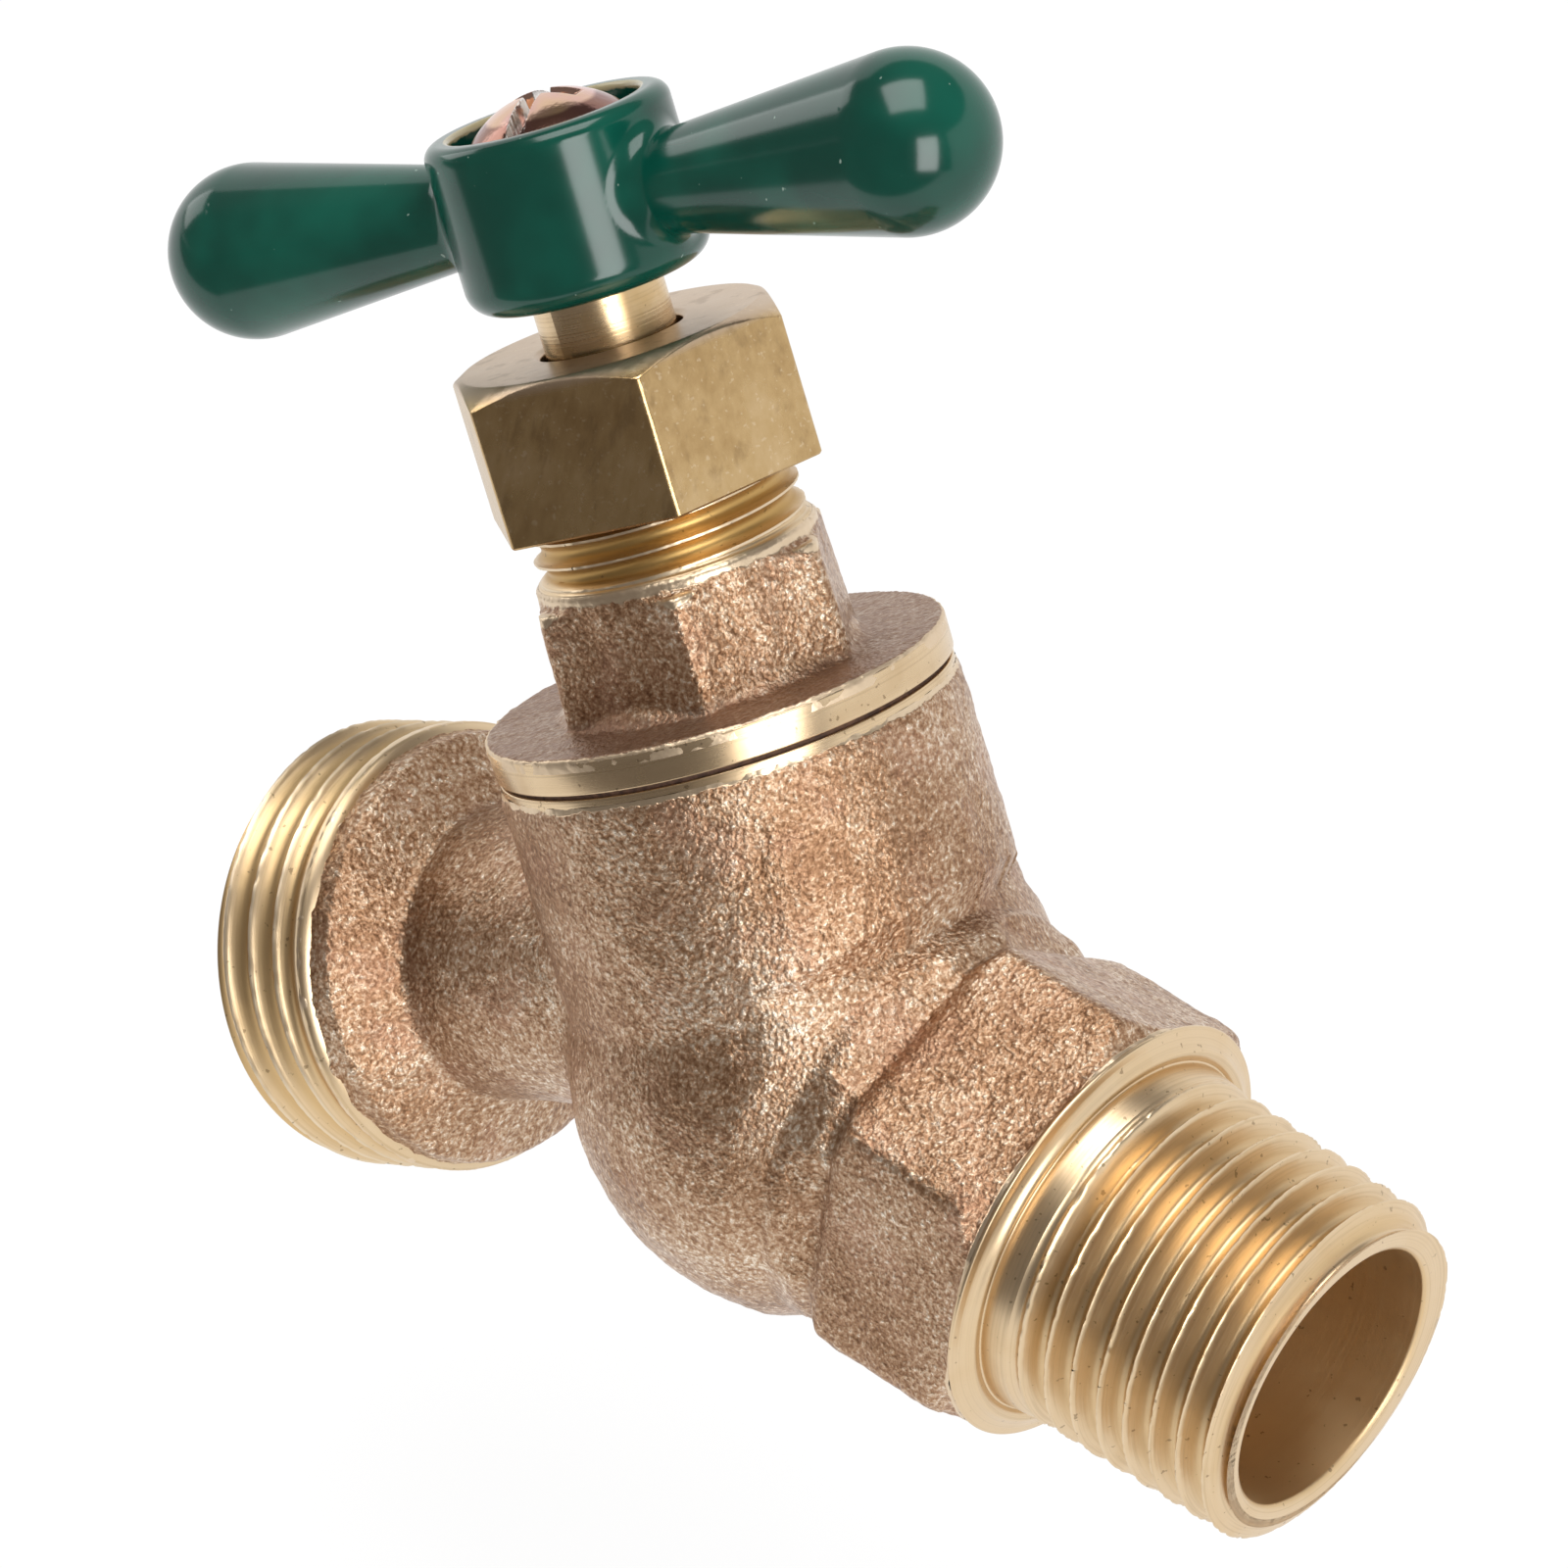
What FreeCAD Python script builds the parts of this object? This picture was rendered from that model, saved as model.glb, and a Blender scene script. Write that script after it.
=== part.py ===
import FreeCAD, Part
import math
import os
import re
import Sketcher

# A hose bibb: a compression valve in cast bronze with a pipe inlet, a hose outlet and a tee handle.
# The row frame stands it as it hangs on a wall. +Y runs along the inlet into the wall, +Z is up,
# and the origin is the centre of the inlet's end face. The stem leans forward over the spout, and
# the axes of the inlet, the stem and the outlet all lie in the plane X = 0.
SIZES = {
    # How the three axes lie. The stem's lean is from the vertical, the outlet's drop from level.
    "stem_lean": 31.0,
    "outlet_drop": 28.0,
    "inlet_reach": 37.0,
    "outlet_above_inlet": 5.8,
    "outlet_reach": 36.3,
    # The cast body. Heights along the stem count from where the outlet's axis crosses it. The other
    # widths of the casting are steps in from the globe's.
    "globe_radius": 15.0,
    "globe_wall": 2.4,
    "barrel_step": 1.45,
    "barrel_wall": 2.95,
    "body_top": 15.35,
    "body_band_step": 0.2,
    "body_band_height": 0.9,
    "neck_step": 6.15,
    "neck_wall": 2.35,
    "neck_blend": 2.5,
    # The hose outlet: its cast shoulder, its thread blank and its mouth.
    "hose_thread_radius": 13.48,
    "hose_thread_length": 8.3,
    "hose_thread_chamfer": 0.5,
    "shoulder_step": 0.58,
    "shoulder_rim": 1.6,
    "shoulder_cone": 2.2,
    "hose_mouth_wall": 4.48,
    # The pipe inlet: its hexagon, machined collar, tapered thread blank and cup for a copper tube.
    "inlet_hex_step": 2.7,
    "inlet_hex_angle": 30.0,
    "inlet_hex_end": 20.2,
    "inlet_hex_corner": 1.0,
    "inlet_hex_chamfer": 1.2,
    "collar_step": 2.0,
    "collar_height": 0.3,
    "collar_cone": 0.6,
    "thread_relief_radius": 10.5,
    "pipe_thread_end_radius": 10.36,
    "pipe_thread_taper": 0.03125,
    "pipe_thread_chamfer": 0.45,
    "cup_radius": 8.0,
    "cup_depth": 12.7,
    "inlet_passage_radius": 6.0,
    # The seat, the chambers on both sides of it and the gallery that joins the lower one to the inlet.
    "seat_top": -4.5,
    "seat_bore_radius": 4.8,
    "seat_rim_wall": 1.5,
    "seat_rim_height": 2.0,
    "seat_wall": 2.1,
    "chamber_step": 1.0,
    "lower_chamber_step": 0.8,
    "gallery_meeting": 20.0,
    "bonnet_bore_gap": 0.8,
    # The bonnet, screwed down on its gasket.
    "gasket_thickness": 0.3,
    "gasket_step": 0.45,
    "flange_step": 0.05,
    "flange_thickness": 2.1,
    "bonnet_hex_step": 0.4,
    "bonnet_hex_angle": 42.0,
    "bonnet_hex_height": 6.8,
    "bonnet_draft_angle": 1.5,
    "bonnet_hex_corner": 0.7,
    "bonnet_hex_foot": 0.9,
    "bonnet_band_step": 0.35,
    "bonnet_band_height": 1.1,
    "spigot_radius": 7.85,
    "spigot_length": 9.1,
    "spigot_chamfer": 0.5,
    "spigot_wall": 2.25,
    "shank_length": 7.3,
    "stem_travel": 7.3,
    # The packing and the nut that squeezes it.
    "packing_washer_thickness": 0.8,
    "packing_length": 5.6,
    "gland_length": 4.0,
    "gland_gap": 0.6,
    "gland_head_step": 1.0,
    "gland_head_thickness": 1.0,
    "nut_wall": 1.185,
    "nut_angle": 51.8,
    "nut_height": 9.0,
    "nut_web": 1.7,
    "nut_chamfer_angle": 30.0,
    "nut_hole_gap": 0.3,
    # The stem, with the cup that holds the washer at its foot and a square for the handle.
    "stem_radius": 3.8,
    "stem_neck_step": 0.4,
    "stem_thread_step": 1.0,
    "stem_thread_bottom": 6.0,
    "stem_thread_length": 8.0,
    "stem_cup_wall": 0.45,
    "stem_cup_thickness": 2.6,
    "stem_cup_rim": 1.7,
    "shoulder_depth": 2.2,
    "square_step": 1.2,
    "square_gap": 0.3,
    # The rubber washer and its screw.
    "washer_radius": 6.85,
    "washer_thickness": 2.8,
    "washer_screw_radius": 1.65,
    "washer_screw_length": 6.2,
    "washer_screw_head_step": 1.75,
    "washer_screw_head_height": 1.4,
    # The tee handle, cast in one with two round arms. The roundings where the arms meet the hub are
    # shares of its height, so that they fit it at any size.
    "handle_angle": 97.0,
    "hub_gap": 3.0,
    "hub_height": 10.0,
    "hub_radius": 7.1,
    "hub_wall": 1.6,
    "hub_top_ratio": 0.09,
    "hub_bottom_ratio": 0.16,
    "counterbore_depth": 1.8,
    "arm_reach": 29.1,
    "arm_end_radius": 5.1,
    "arm_root_ratio": 0.18,
    "arm_blend_ratio": 0.13,
    # The screw that holds the handle down.
    "handle_screw_radius": 2.0,
    "handle_screw_length": 7.5,
    "handle_screw_head_gap": 0.85,
    "handle_screw_head_height": 3.3,
    "handle_screw_head_edge": 0.9,
    # Clearances: between threads and other fits, between a fixed face and a moving one.
    "fit_clearance": 0.05,
    "loose_clearance": 0.1,
}

doc = FreeCAD.newDocument("HoseBibb")
sheet = doc.addObject("Spreadsheet::Sheet", "Sizes")
for row, (alias, size) in enumerate(SIZES.items(), start=1):
    sheet.set(f"A{row}", alias)
    sheet.set(f"B{row}", str(size))
    sheet.setAlias(f"B{row}", alias)
doc.recompute()

# Lengths that several pieces share, written once as expressions on the sheet's names.
NECK_RADIUS = "(globe_radius - neck_step)"
BARREL_RADIUS = "(globe_radius - barrel_step)"
BONNET_BORE = f"({BARREL_RADIUS} - barrel_wall)"
INLET_HEX_FLAT = "(globe_radius - inlet_hex_step)"
INLET_HEX_REACH = f"({INLET_HEX_FLAT} / cos(30))"
COLLAR_RADIUS = "(globe_radius - collar_step)"
COLLAR_END = "(inlet_hex_end + collar_height)"
PIPE_THREAD_START = f"({COLLAR_END} + collar_cone)"
PIPE_THREAD_ROOT = f"pipe_thread_end_radius + pipe_thread_taper * (inlet_reach - {PIPE_THREAD_START})"
HOSE_THREAD_FOOT = "(outlet_reach - hose_thread_length)"
SHOULDER_RADIUS = "(hose_thread_radius - shoulder_step)"
HOSE_MOUTH_RADIUS = "(hose_thread_radius - hose_mouth_wall)"
HOSE_MOUTH_FLOOR = f"({HOSE_THREAD_FOOT} - shoulder_rim)"
SEAT_RIM_RADIUS = "(seat_bore_radius + seat_rim_wall)"
TROUGH_FLOOR = "(seat_top - seat_rim_height)"
SEAT_UNDERSIDE = f"({TROUGH_FLOOR} - seat_wall)"
CHAMBER_FLOOR = "(globe_wall - globe_radius - outlet_above_inlet)"
WASHER_TOP = "(seat_top + fit_clearance + washer_thickness)"
WASHER_BORE = "washer_screw_radius + loose_clearance"
WASHER_SCREW_HEAD = "(washer_screw_radius + washer_screw_head_step)"
WASHER_SCREW_TIP = "(seat_top + washer_screw_length)"
CUP_FLOOR = f"({WASHER_TOP} + fit_clearance)"
STEM_THREAD_TOP = "(stem_thread_bottom + stem_thread_length)"
STEM_THREAD_RADIUS = "(stem_radius + stem_thread_step)"
FLANGE_BOTTOM = "(body_top + gasket_thickness)"
FLANGE_TOP = f"({FLANGE_BOTTOM} + flange_thickness)"
HEX_TOP = f"({FLANGE_TOP} + bonnet_hex_height)"
BAND_TOP = f"({HEX_TOP} + bonnet_band_height)"
SPIGOT_TOP = f"({BAND_TOP} + spigot_length)"
GASKET_RADIUS = f"({BARREL_RADIUS} - gasket_step)"
BONNET_FLAT = "(spigot_radius + bonnet_hex_step)"
SHANK_RADIUS = f"({BONNET_BORE} - fit_clearance)"
SHANK_BOTTOM = f"({FLANGE_BOTTOM} - shank_length)"
BONNET_THREAD_TOP = f"({STEM_THREAD_TOP} + stem_travel)"
BOX_RADIUS = "(spigot_radius - spigot_wall)"
PACKING_BORE = "stem_radius + fit_clearance"
PACKING_WALL = f"{BOX_RADIUS} - fit_clearance"
GLAND_TOP = f"({SPIGOT_TOP} + gland_gap + gland_head_thickness)"
GLAND_BOTTOM = f"({GLAND_TOP} - gland_length)"
WASHER_BED = f"({GLAND_BOTTOM} - packing_length)"
PACKING_FLOOR = f"({WASHER_BED} - packing_washer_thickness)"
NUT_FLAT = "(spigot_radius + nut_wall)"
NUT_TOP = f"({GLAND_TOP} + nut_web)"
NUT_BOTTOM = f"({NUT_TOP} - nut_height)"
HUB_BOTTOM = f"({NUT_TOP} + hub_gap)"
HUB_TOP = f"({HUB_BOTTOM} + hub_height)"
STEM_SHOULDER = f"({HUB_BOTTOM} + shoulder_depth)"
SCREW_SEAT = f"({HUB_TOP} - counterbore_depth)"
SQUARE_TOP = f"({SCREW_SEAT} - square_gap)"
SQUARE_FLAT = "(stem_radius - square_step)"
COUNTERBORE_RADIUS = "(hub_radius - hub_wall)"
SCREW_HEAD_RADIUS = f"({COUNTERBORE_RADIUS} - handle_screw_head_gap)"

# The gallery fills the height between the seat's underside and the chamber's floor. It runs from the
# stem's axis to the inlet's, this far across and up.
GALLERY_RADIUS = f"(({SEAT_UNDERSIDE} - {CHAMBER_FLOOR}) / 2)"
GALLERY_HEIGHT = f"(({SEAT_UNDERSIDE} + {CHAMBER_FLOOR}) / 2)"
GALLERY_ACROSS = f"(gallery_meeting + (outlet_above_inlet + {GALLERY_HEIGHT}) * sin(stem_lean))"
GALLERY_RISE = f"(0 - (outlet_above_inlet + {GALLERY_HEIGHT}) * cos(stem_lean))"

# The arms come out of the middle of the hub. Each tapers from its root on the stem's axis, and
# touches the ball of its end at this angle.
ARM_HEIGHT = f"({HUB_BOTTOM} + hub_height / 2)"
ARM_ROOT = "(hub_height * arm_root_ratio)"
ARM_BALL = "(arm_reach - arm_end_radius)"
ARM_SLANT = f"hypot({ARM_ROOT}; {ARM_BALL})"
ARM_TOUCH = (
    f"(acos(arm_end_radius / {ARM_SLANT}) / 1 deg"
    f" - atan({ARM_BALL} / {ARM_ROOT}) / 1 deg)"
)


def bound(text):
    """An expression on the sheet's cells, from one on their names."""
    return re.sub(r"[a-z]+(_[a-z]+)+", r"Sizes.\g<0>", text)


def value(text):
    """The number that an expression on the sheet's names gives now."""
    return float(sheet.evalExpression(bound(text)))


def new_body(label):
    body = doc.addObject("PartDesign::Body", label)
    body.Label = label
    return body


def set_on_stem(body, turn="0"):
    """Stand a piece on the stem's axis, with its Z along the stem, turned about it."""
    start = "vector(0; -inlet_reach - outlet_above_inlet * sin(stem_lean); outlet_above_inlet * cos(stem_lean))"
    lean = "rotation(vector(1; 0; 0); stem_lean)"
    spin = f"rotation(vector(0; 0; 1); {turn})"
    body.setExpression("Placement", bound(f"placement({start}; {lean} * {spin})"))


def new_sketch(body, name, role, lift="0", turn="0", across="0", up="0"):
    """A sketch on one of the body's own planes, moved along and turned in that plane."""
    sketch = body.newObject("Sketcher::SketchObject", name)
    plane = [plane for plane in body.Origin.OriginFeatures if plane.Role == role][0]
    sketch.AttachmentSupport = (plane, [""])
    sketch.MapMode = "FlatFace"
    angle = value(turn)
    start = FreeCAD.Vector(value(across), value(up), value(lift))
    sketch.AttachmentOffset = FreeCAD.Placement(start, FreeCAD.Rotation(FreeCAD.Vector(0, 0, 1), angle))
    for path, text in (("Base.x", across), ("Base.y", up), ("Base.z", lift), ("Rotation.Angle", turn)):
        if text != "0":
            sketch.setExpression(f"AttachmentOffset.{path}", bound(text))
    return sketch


def arc_about_axis(start, end):
    """The arc between two places whose centre is on the sketch's vertical axis."""
    height = (start.Length ** 2 - end.Length ** 2) / (2 * (start.y - end.y))
    centre = FreeCAD.Vector(0, height, 0)
    middle = (start + end) * 0.5 - centre
    return Part.Arc(start, centre + middle * ((start - centre).Length / middle.Length), end)


def draw_outline(sketch, corners):
    """A closed outline through corners, each tied to the sheet.

    A corner is a pair of expressions. A third item, "arc", makes the stretch after it an arc about
    the sketch's vertical axis. The other stretches are straight.
    """
    places = [FreeCAD.Vector(value(corner[0]), value(corner[1]), 0) for corner in corners]
    ends = []
    for number, start in enumerate(places):
        end = places[(number + 1) % len(places)]
        if "arc" in corners[number]:
            sketch.addGeometry(arc_about_axis(start, end), False)
            sketch.addConstraint(Sketcher.Constraint("PointOnObject", number, 3, -2))
        else:
            sketch.addGeometry(Part.LineSegment(start, end), False)
        forward = sketch.getPoint(number, 1).distanceToPoint(start) < 1e-6
        ends.append((1, 2) if forward else (2, 1))
    for number in range(len(places)):
        after = (number + 1) % len(places)
        sketch.addConstraint(Sketcher.Constraint("Coincident", number, ends[number][1], after, ends[after][0]))
    for number, (corner, place) in enumerate(zip(corners, places)):
        point = ends[number][0]
        for kind, text, axis, size in (("DistanceX", corner[0], -2, place.x), ("DistanceY", corner[1], -1, place.y)):
            if text == "0":
                sketch.addConstraint(Sketcher.Constraint("PointOnObject", number, point, axis))
            else:
                index = sketch.addConstraint(Sketcher.Constraint(kind, -1, 1, number, point, size))
                sketch.setExpression(f"Constraints[{index}]", bound(text))


def hexagon(flat, turn):
    """The six corners of a hexagon whose flats are this far from its centre, as pairs of expressions."""
    reach = f"{flat} / cos(30)"
    return [(f"{reach} * cos({turn} + {60 * step})", f"{reach} * sin({turn} + {60 * step})") for step in range(6)]


def square(flat):
    """The four corners of a square whose flats are this far from the sketch's origin."""
    return [(flat, flat), (f"0 - {flat}", flat), (f"0 - {flat}", f"0 - {flat}"), (flat, f"0 - {flat}")]


def turn_feature(body, kind, sketch, name):
    """Revolve a sketch all round its own vertical axis, adding or cutting."""
    feature = body.newObject(kind, name)
    feature.Profile = sketch
    feature.ReferenceAxis = (sketch, ["V_Axis"])
    feature.Angle = 360
    doc.recompute()
    return feature


def turned(body, name, corners, role="XZ_Plane", **place):
    """Solid material with this outline about the axis."""
    sketch = new_sketch(body, name + "_outline", role, **place)
    draw_outline(sketch, corners)
    return turn_feature(body, "PartDesign::Revolution", sketch, name)


def bored(body, name, corners, role="XZ_Plane", **place):
    """Material cut away with this outline about the axis."""
    before = body.Shape.Volume
    sketch = new_sketch(body, name + "_outline", role, **place)
    draw_outline(sketch, corners)
    feature = turn_feature(body, "PartDesign::Groove", sketch, name)
    if not body.Shape.Volume < before:
        raise RuntimeError(f"{name} cut nothing")
    return feature


def prism(body, name, kind, corners, role, length, draft="0", **place):
    """A straight or drafted block on a flat outline, added or cut."""
    sketch = new_sketch(body, name + "_outline", role, **place)
    draw_outline(sketch, corners)
    feature = body.newObject(kind, name)
    feature.Profile = sketch
    feature.Length = value(length)
    feature.setExpression("Length", bound(length))
    if draft != "0":
        feature.TaperAngle = value(draft)
        feature.setExpression("TaperAngle", bound(draft))
    doc.recompute()
    return feature


def softened(body, name, kind, size, wanted):
    """Round or chamfer the edges of the body that the test picks."""
    base = body.Tip
    picked = [f"Edge{number}" for number, edge in enumerate(base.Shape.Edges, start=1) if wanted(edge)]
    if not picked:
        raise RuntimeError(f"{name} found no edge")
    feature = body.newObject(kind, name)
    feature.Base = (base, picked)
    path = "Radius" if kind == "PartDesign::Fillet" else "Size"
    setattr(feature, path, value(size))
    feature.setExpression(path, bound(size))
    doc.recompute()
    if feature.Shape.isNull() or not feature.Shape.isValid():
        raise RuntimeError(f"{name} failed")
    return feature


def rim(radius, height):
    """A test for the circle of this radius about Z, at this height, in the body's own frame."""
    def wanted(edge):
        if edge.Degenerated or edge.Curve.TypeId != "Part::GeomCircle":
            return False
        curve = edge.Curve
        level = abs(curve.Center.z - value(height)) < 0.01
        return level and abs(curve.Radius - value(radius)) < 0.01
    return wanted


def crosses_cylinder(radius, start, along):
    """A test for a curve that another form cuts in a cylinder of this radius about an axis."""
    def wanted(edge):
        if edge.Degenerated or edge.Curve.TypeId != "Part::GeomBSplineCurve":
            return False
        points = edge.discretize(5)
        return all(abs(point.distanceToLine(start, along) - value(radius)) < 0.02 for point in points)
    return wanted


def corner_line(reach, along):
    """A test for a straight edge along an axis through the origin, at about this distance from it."""
    def wanted(edge):
        if edge.Degenerated or len(edge.Vertexes) != 2:
            return False
        run = edge.Vertexes[1].Point - edge.Vertexes[0].Point
        straight = edge.Length - run.Length < 0.01
        lies_along = abs(run.dot(along)) > 0.99 * run.Length
        return straight and lies_along and abs(edge.CenterOfMass.cross(along).Length - value(reach)) < 0.4
    return wanted


def axis_line(place):
    """Where one of the three axes starts and which way it runs, as vectors."""
    turn = math.radians(value(place["turn"]))
    start = FreeCAD.Vector(0, value(place["across"]), value(place.get("up", "0")))
    return start, FreeCAD.Vector(0, -math.sin(turn), math.cos(turn))


def tube(label, inner, outer, bottom, top):
    """A plain ring on the stem's axis."""
    body = new_body(label)
    set_on_stem(body)
    turned(body, label + "_ring", [(inner, bottom), (outer, bottom), (outer, top), (inner, top)])
    return body


# The three axes, as places for sketches on the body's YZ plane: where each starts and how it is turned.
STEM_AXIS = {
    "across": "-inlet_reach - outlet_above_inlet * sin(stem_lean)",
    "up": "outlet_above_inlet * cos(stem_lean)",
    "turn": "stem_lean",
}
OUTLET_AXIS = dict(STEM_AXIS, turn="(90 + outlet_drop)")
INLET_AXIS = {"across": "-inlet_reach", "turn": "(0 - 90)"}
GALLERY_AXIS = {
    "across": f"-inlet_reach - (outlet_above_inlet + {GALLERY_HEIGHT}) * sin(stem_lean)",
    "up": f"(outlet_above_inlet + {GALLERY_HEIGHT}) * cos(stem_lean)",
    "turn": f"(0 - atan({GALLERY_ACROSS} / {GALLERY_RISE}) / 1 deg)",
}
GALLERY_LENGTH = f"hypot({GALLERY_ACROSS}; {GALLERY_RISE})"


def make_valve_body():
    """The casting: globe, barrel, hose outlet and hexagon inlet, with the seat inside."""
    body = new_body("valve_body")
    prism(body, "inlet_hexagon", "PartDesign::Pad", hexagon(INLET_HEX_FLAT, "inlet_hex_angle"),
          "XZ_Plane", "inlet_hex_end", lift="inlet_reach - inlet_hex_end")
    hex_corner = corner_line(INLET_HEX_REACH, FreeCAD.Vector(0, 1, 0))
    softened(body, "hexagon_corners", "PartDesign::Fillet", "inlet_hex_corner", hex_corner)
    hex_end = [
        (INLET_HEX_FLAT, "inlet_hex_end"),
        (f"{INLET_HEX_REACH} + loose_clearance", "inlet_hex_end - inlet_hex_chamfer"),
        (f"{INLET_HEX_REACH} + loose_clearance", "inlet_hex_end"),
    ]
    bored(body, "hexagon_end", hex_end, "YZ_Plane", **INLET_AXIS)
    barrel = [
        ("0", "0 - outlet_above_inlet"),
        (BARREL_RADIUS, "0 - outlet_above_inlet"),
        (BARREL_RADIUS, "body_top - body_band_height"),
        (f"{BARREL_RADIUS} - body_band_step", "body_top - body_band_height"),
        (f"{BARREL_RADIUS} - body_band_step", "body_top"),
        ("0", "body_top"),
    ]
    turned(body, "barrel", barrel, "YZ_Plane", **STEM_AXIS)
    globe = body.newObject("PartDesign::AdditiveSphere", "globe")
    globe.setExpression("Radius", bound("globe_radius"))
    globe.setExpression("Placement.Base.y", bound("-inlet_reach"))
    neck = [
        ("0", "0"),
        (NECK_RADIUS, "0"),
        (NECK_RADIUS, f"{HOSE_THREAD_FOOT} - shoulder_rim - shoulder_cone"),
        (SHOULDER_RADIUS, f"{HOSE_THREAD_FOOT} - shoulder_rim"),
        (SHOULDER_RADIUS, HOSE_THREAD_FOOT),
        ("0", HOSE_THREAD_FOOT),
    ]
    turned(body, "neck", neck, "YZ_Plane", **OUTLET_AXIS)
    neck_cut = crosses_cylinder(NECK_RADIUS, *axis_line(OUTLET_AXIS))
    softened(body, "neck_root", "PartDesign::Fillet", "neck_blend", neck_cut)
    hose_thread = [
        ("0", HOSE_THREAD_FOOT),
        ("hose_thread_radius", HOSE_THREAD_FOOT),
        ("hose_thread_radius", "outlet_reach - hose_thread_chamfer"),
        ("hose_thread_radius - hose_thread_chamfer", "outlet_reach"),
        ("0", "outlet_reach"),
    ]
    turned(body, "hose_thread_blank", hose_thread, "YZ_Plane", **OUTLET_AXIS)
    inlet = [
        ("0", "0"),
        (PIPE_THREAD_ROOT, "0"),
        (PIPE_THREAD_ROOT, "inlet_hex_end"),
        (COLLAR_RADIUS, "inlet_hex_end"),
        (COLLAR_RADIUS, COLLAR_END),
        ("thread_relief_radius", PIPE_THREAD_START),
        (PIPE_THREAD_ROOT, PIPE_THREAD_START),
        ("pipe_thread_end_radius + pipe_thread_taper * pipe_thread_chamfer", "inlet_reach - pipe_thread_chamfer"),
        ("pipe_thread_end_radius - pipe_thread_chamfer", "inlet_reach"),
        ("0", "inlet_reach"),
    ]
    turned(body, "pipe_thread_blank", inlet, "YZ_Plane", **INLET_AXIS)
    chambers = [
        ("0", CHAMBER_FLOOR),
        ("seat_bore_radius + lower_chamber_step", CHAMBER_FLOOR),
        ("seat_bore_radius + lower_chamber_step", SEAT_UNDERSIDE),
        ("seat_bore_radius", SEAT_UNDERSIDE),
        ("seat_bore_radius", "seat_top"),
        (SEAT_RIM_RADIUS, "seat_top"),
        (SEAT_RIM_RADIUS, TROUGH_FLOOR),
        (f"{BONNET_BORE} - chamber_step", TROUGH_FLOOR),
        (f"{BONNET_BORE} - chamber_step", f"{SHANK_BOTTOM} - bonnet_bore_gap"),
        (BONNET_BORE, f"{SHANK_BOTTOM} - bonnet_bore_gap"),
        (BONNET_BORE, "body_top"),
        ("0", "body_top"),
    ]
    bored(body, "chambers", chambers, "YZ_Plane", **STEM_AXIS)
    outlet_passage = [
        ("0", f"{SEAT_RIM_RADIUS} + loose_clearance"),
        (f"{NECK_RADIUS} - neck_wall", f"{SEAT_RIM_RADIUS} + loose_clearance"),
        (f"{NECK_RADIUS} - neck_wall", HOSE_MOUTH_FLOOR),
        (HOSE_MOUTH_RADIUS, HOSE_MOUTH_FLOOR),
        (HOSE_MOUTH_RADIUS, "outlet_reach"),
        ("0", "outlet_reach"),
    ]
    bored(body, "outlet_passage", outlet_passage, "YZ_Plane", **OUTLET_AXIS)
    inlet_passage = [
        ("0", f"gallery_meeting - {GALLERY_RADIUS}"),
        ("inlet_passage_radius", f"gallery_meeting - {GALLERY_RADIUS}"),
        ("inlet_passage_radius", "inlet_reach - cup_depth"),
        ("cup_radius", "inlet_reach - cup_depth"),
        ("cup_radius", "inlet_reach"),
        ("0", "inlet_reach"),
    ]
    bored(body, "inlet_passage", inlet_passage, "YZ_Plane", **INLET_AXIS)
    gallery = [
        ("0", "0"),
        (GALLERY_RADIUS, "0"),
        (GALLERY_RADIUS, GALLERY_LENGTH),
        ("0", GALLERY_LENGTH),
    ]
    bored(body, "gallery", gallery, "YZ_Plane", **GALLERY_AXIS)
    return body


def make_bonnet():
    """The cap: a flange and hexagon as cast, a threaded shank below and a threaded spigot above."""
    body = new_body("bonnet")
    set_on_stem(body)
    blank = [
        ("0", SHANK_BOTTOM),
        (SHANK_RADIUS, SHANK_BOTTOM),
        (SHANK_RADIUS, FLANGE_BOTTOM),
        (f"{BARREL_RADIUS} - flange_step", FLANGE_BOTTOM),
        (f"{BARREL_RADIUS} - flange_step", FLANGE_TOP),
        (f"{BONNET_FLAT} + bonnet_hex_foot", FLANGE_TOP),
        (BONNET_FLAT, f"{FLANGE_TOP} + bonnet_hex_foot"),
        ("spigot_radius + bonnet_band_step", HEX_TOP),
        ("spigot_radius + bonnet_band_step", BAND_TOP),
        ("spigot_radius", BAND_TOP),
        ("spigot_radius", f"{SPIGOT_TOP} - spigot_chamfer"),
        ("spigot_radius - spigot_chamfer", SPIGOT_TOP),
        ("0", SPIGOT_TOP),
    ]
    turned(body, "bonnet_blank", blank)
    prism(body, "bonnet_hexagon", "PartDesign::Pad", hexagon(BONNET_FLAT, "bonnet_hex_angle"),
          "XY_Plane", "bonnet_hex_height", draft="0 - bonnet_draft_angle", lift=FLANGE_TOP)
    hex_corner = corner_line(f"{BONNET_FLAT} / cos(30)", FreeCAD.Vector(0, 0, 1))
    softened(body, "bonnet_corners", "PartDesign::Fillet", "bonnet_hex_corner", hex_corner)
    bore = [
        ("0", SHANK_BOTTOM),
        (f"{STEM_THREAD_RADIUS} + fit_clearance", SHANK_BOTTOM),
        (f"{STEM_THREAD_RADIUS} + fit_clearance", BONNET_THREAD_TOP),
        ("stem_radius + loose_clearance", BONNET_THREAD_TOP),
        ("stem_radius + loose_clearance", PACKING_FLOOR),
        (BOX_RADIUS, PACKING_FLOOR),
        (BOX_RADIUS, SPIGOT_TOP),
        ("0", SPIGOT_TOP),
    ]
    bored(body, "bonnet_bore", bore)
    return body


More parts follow.
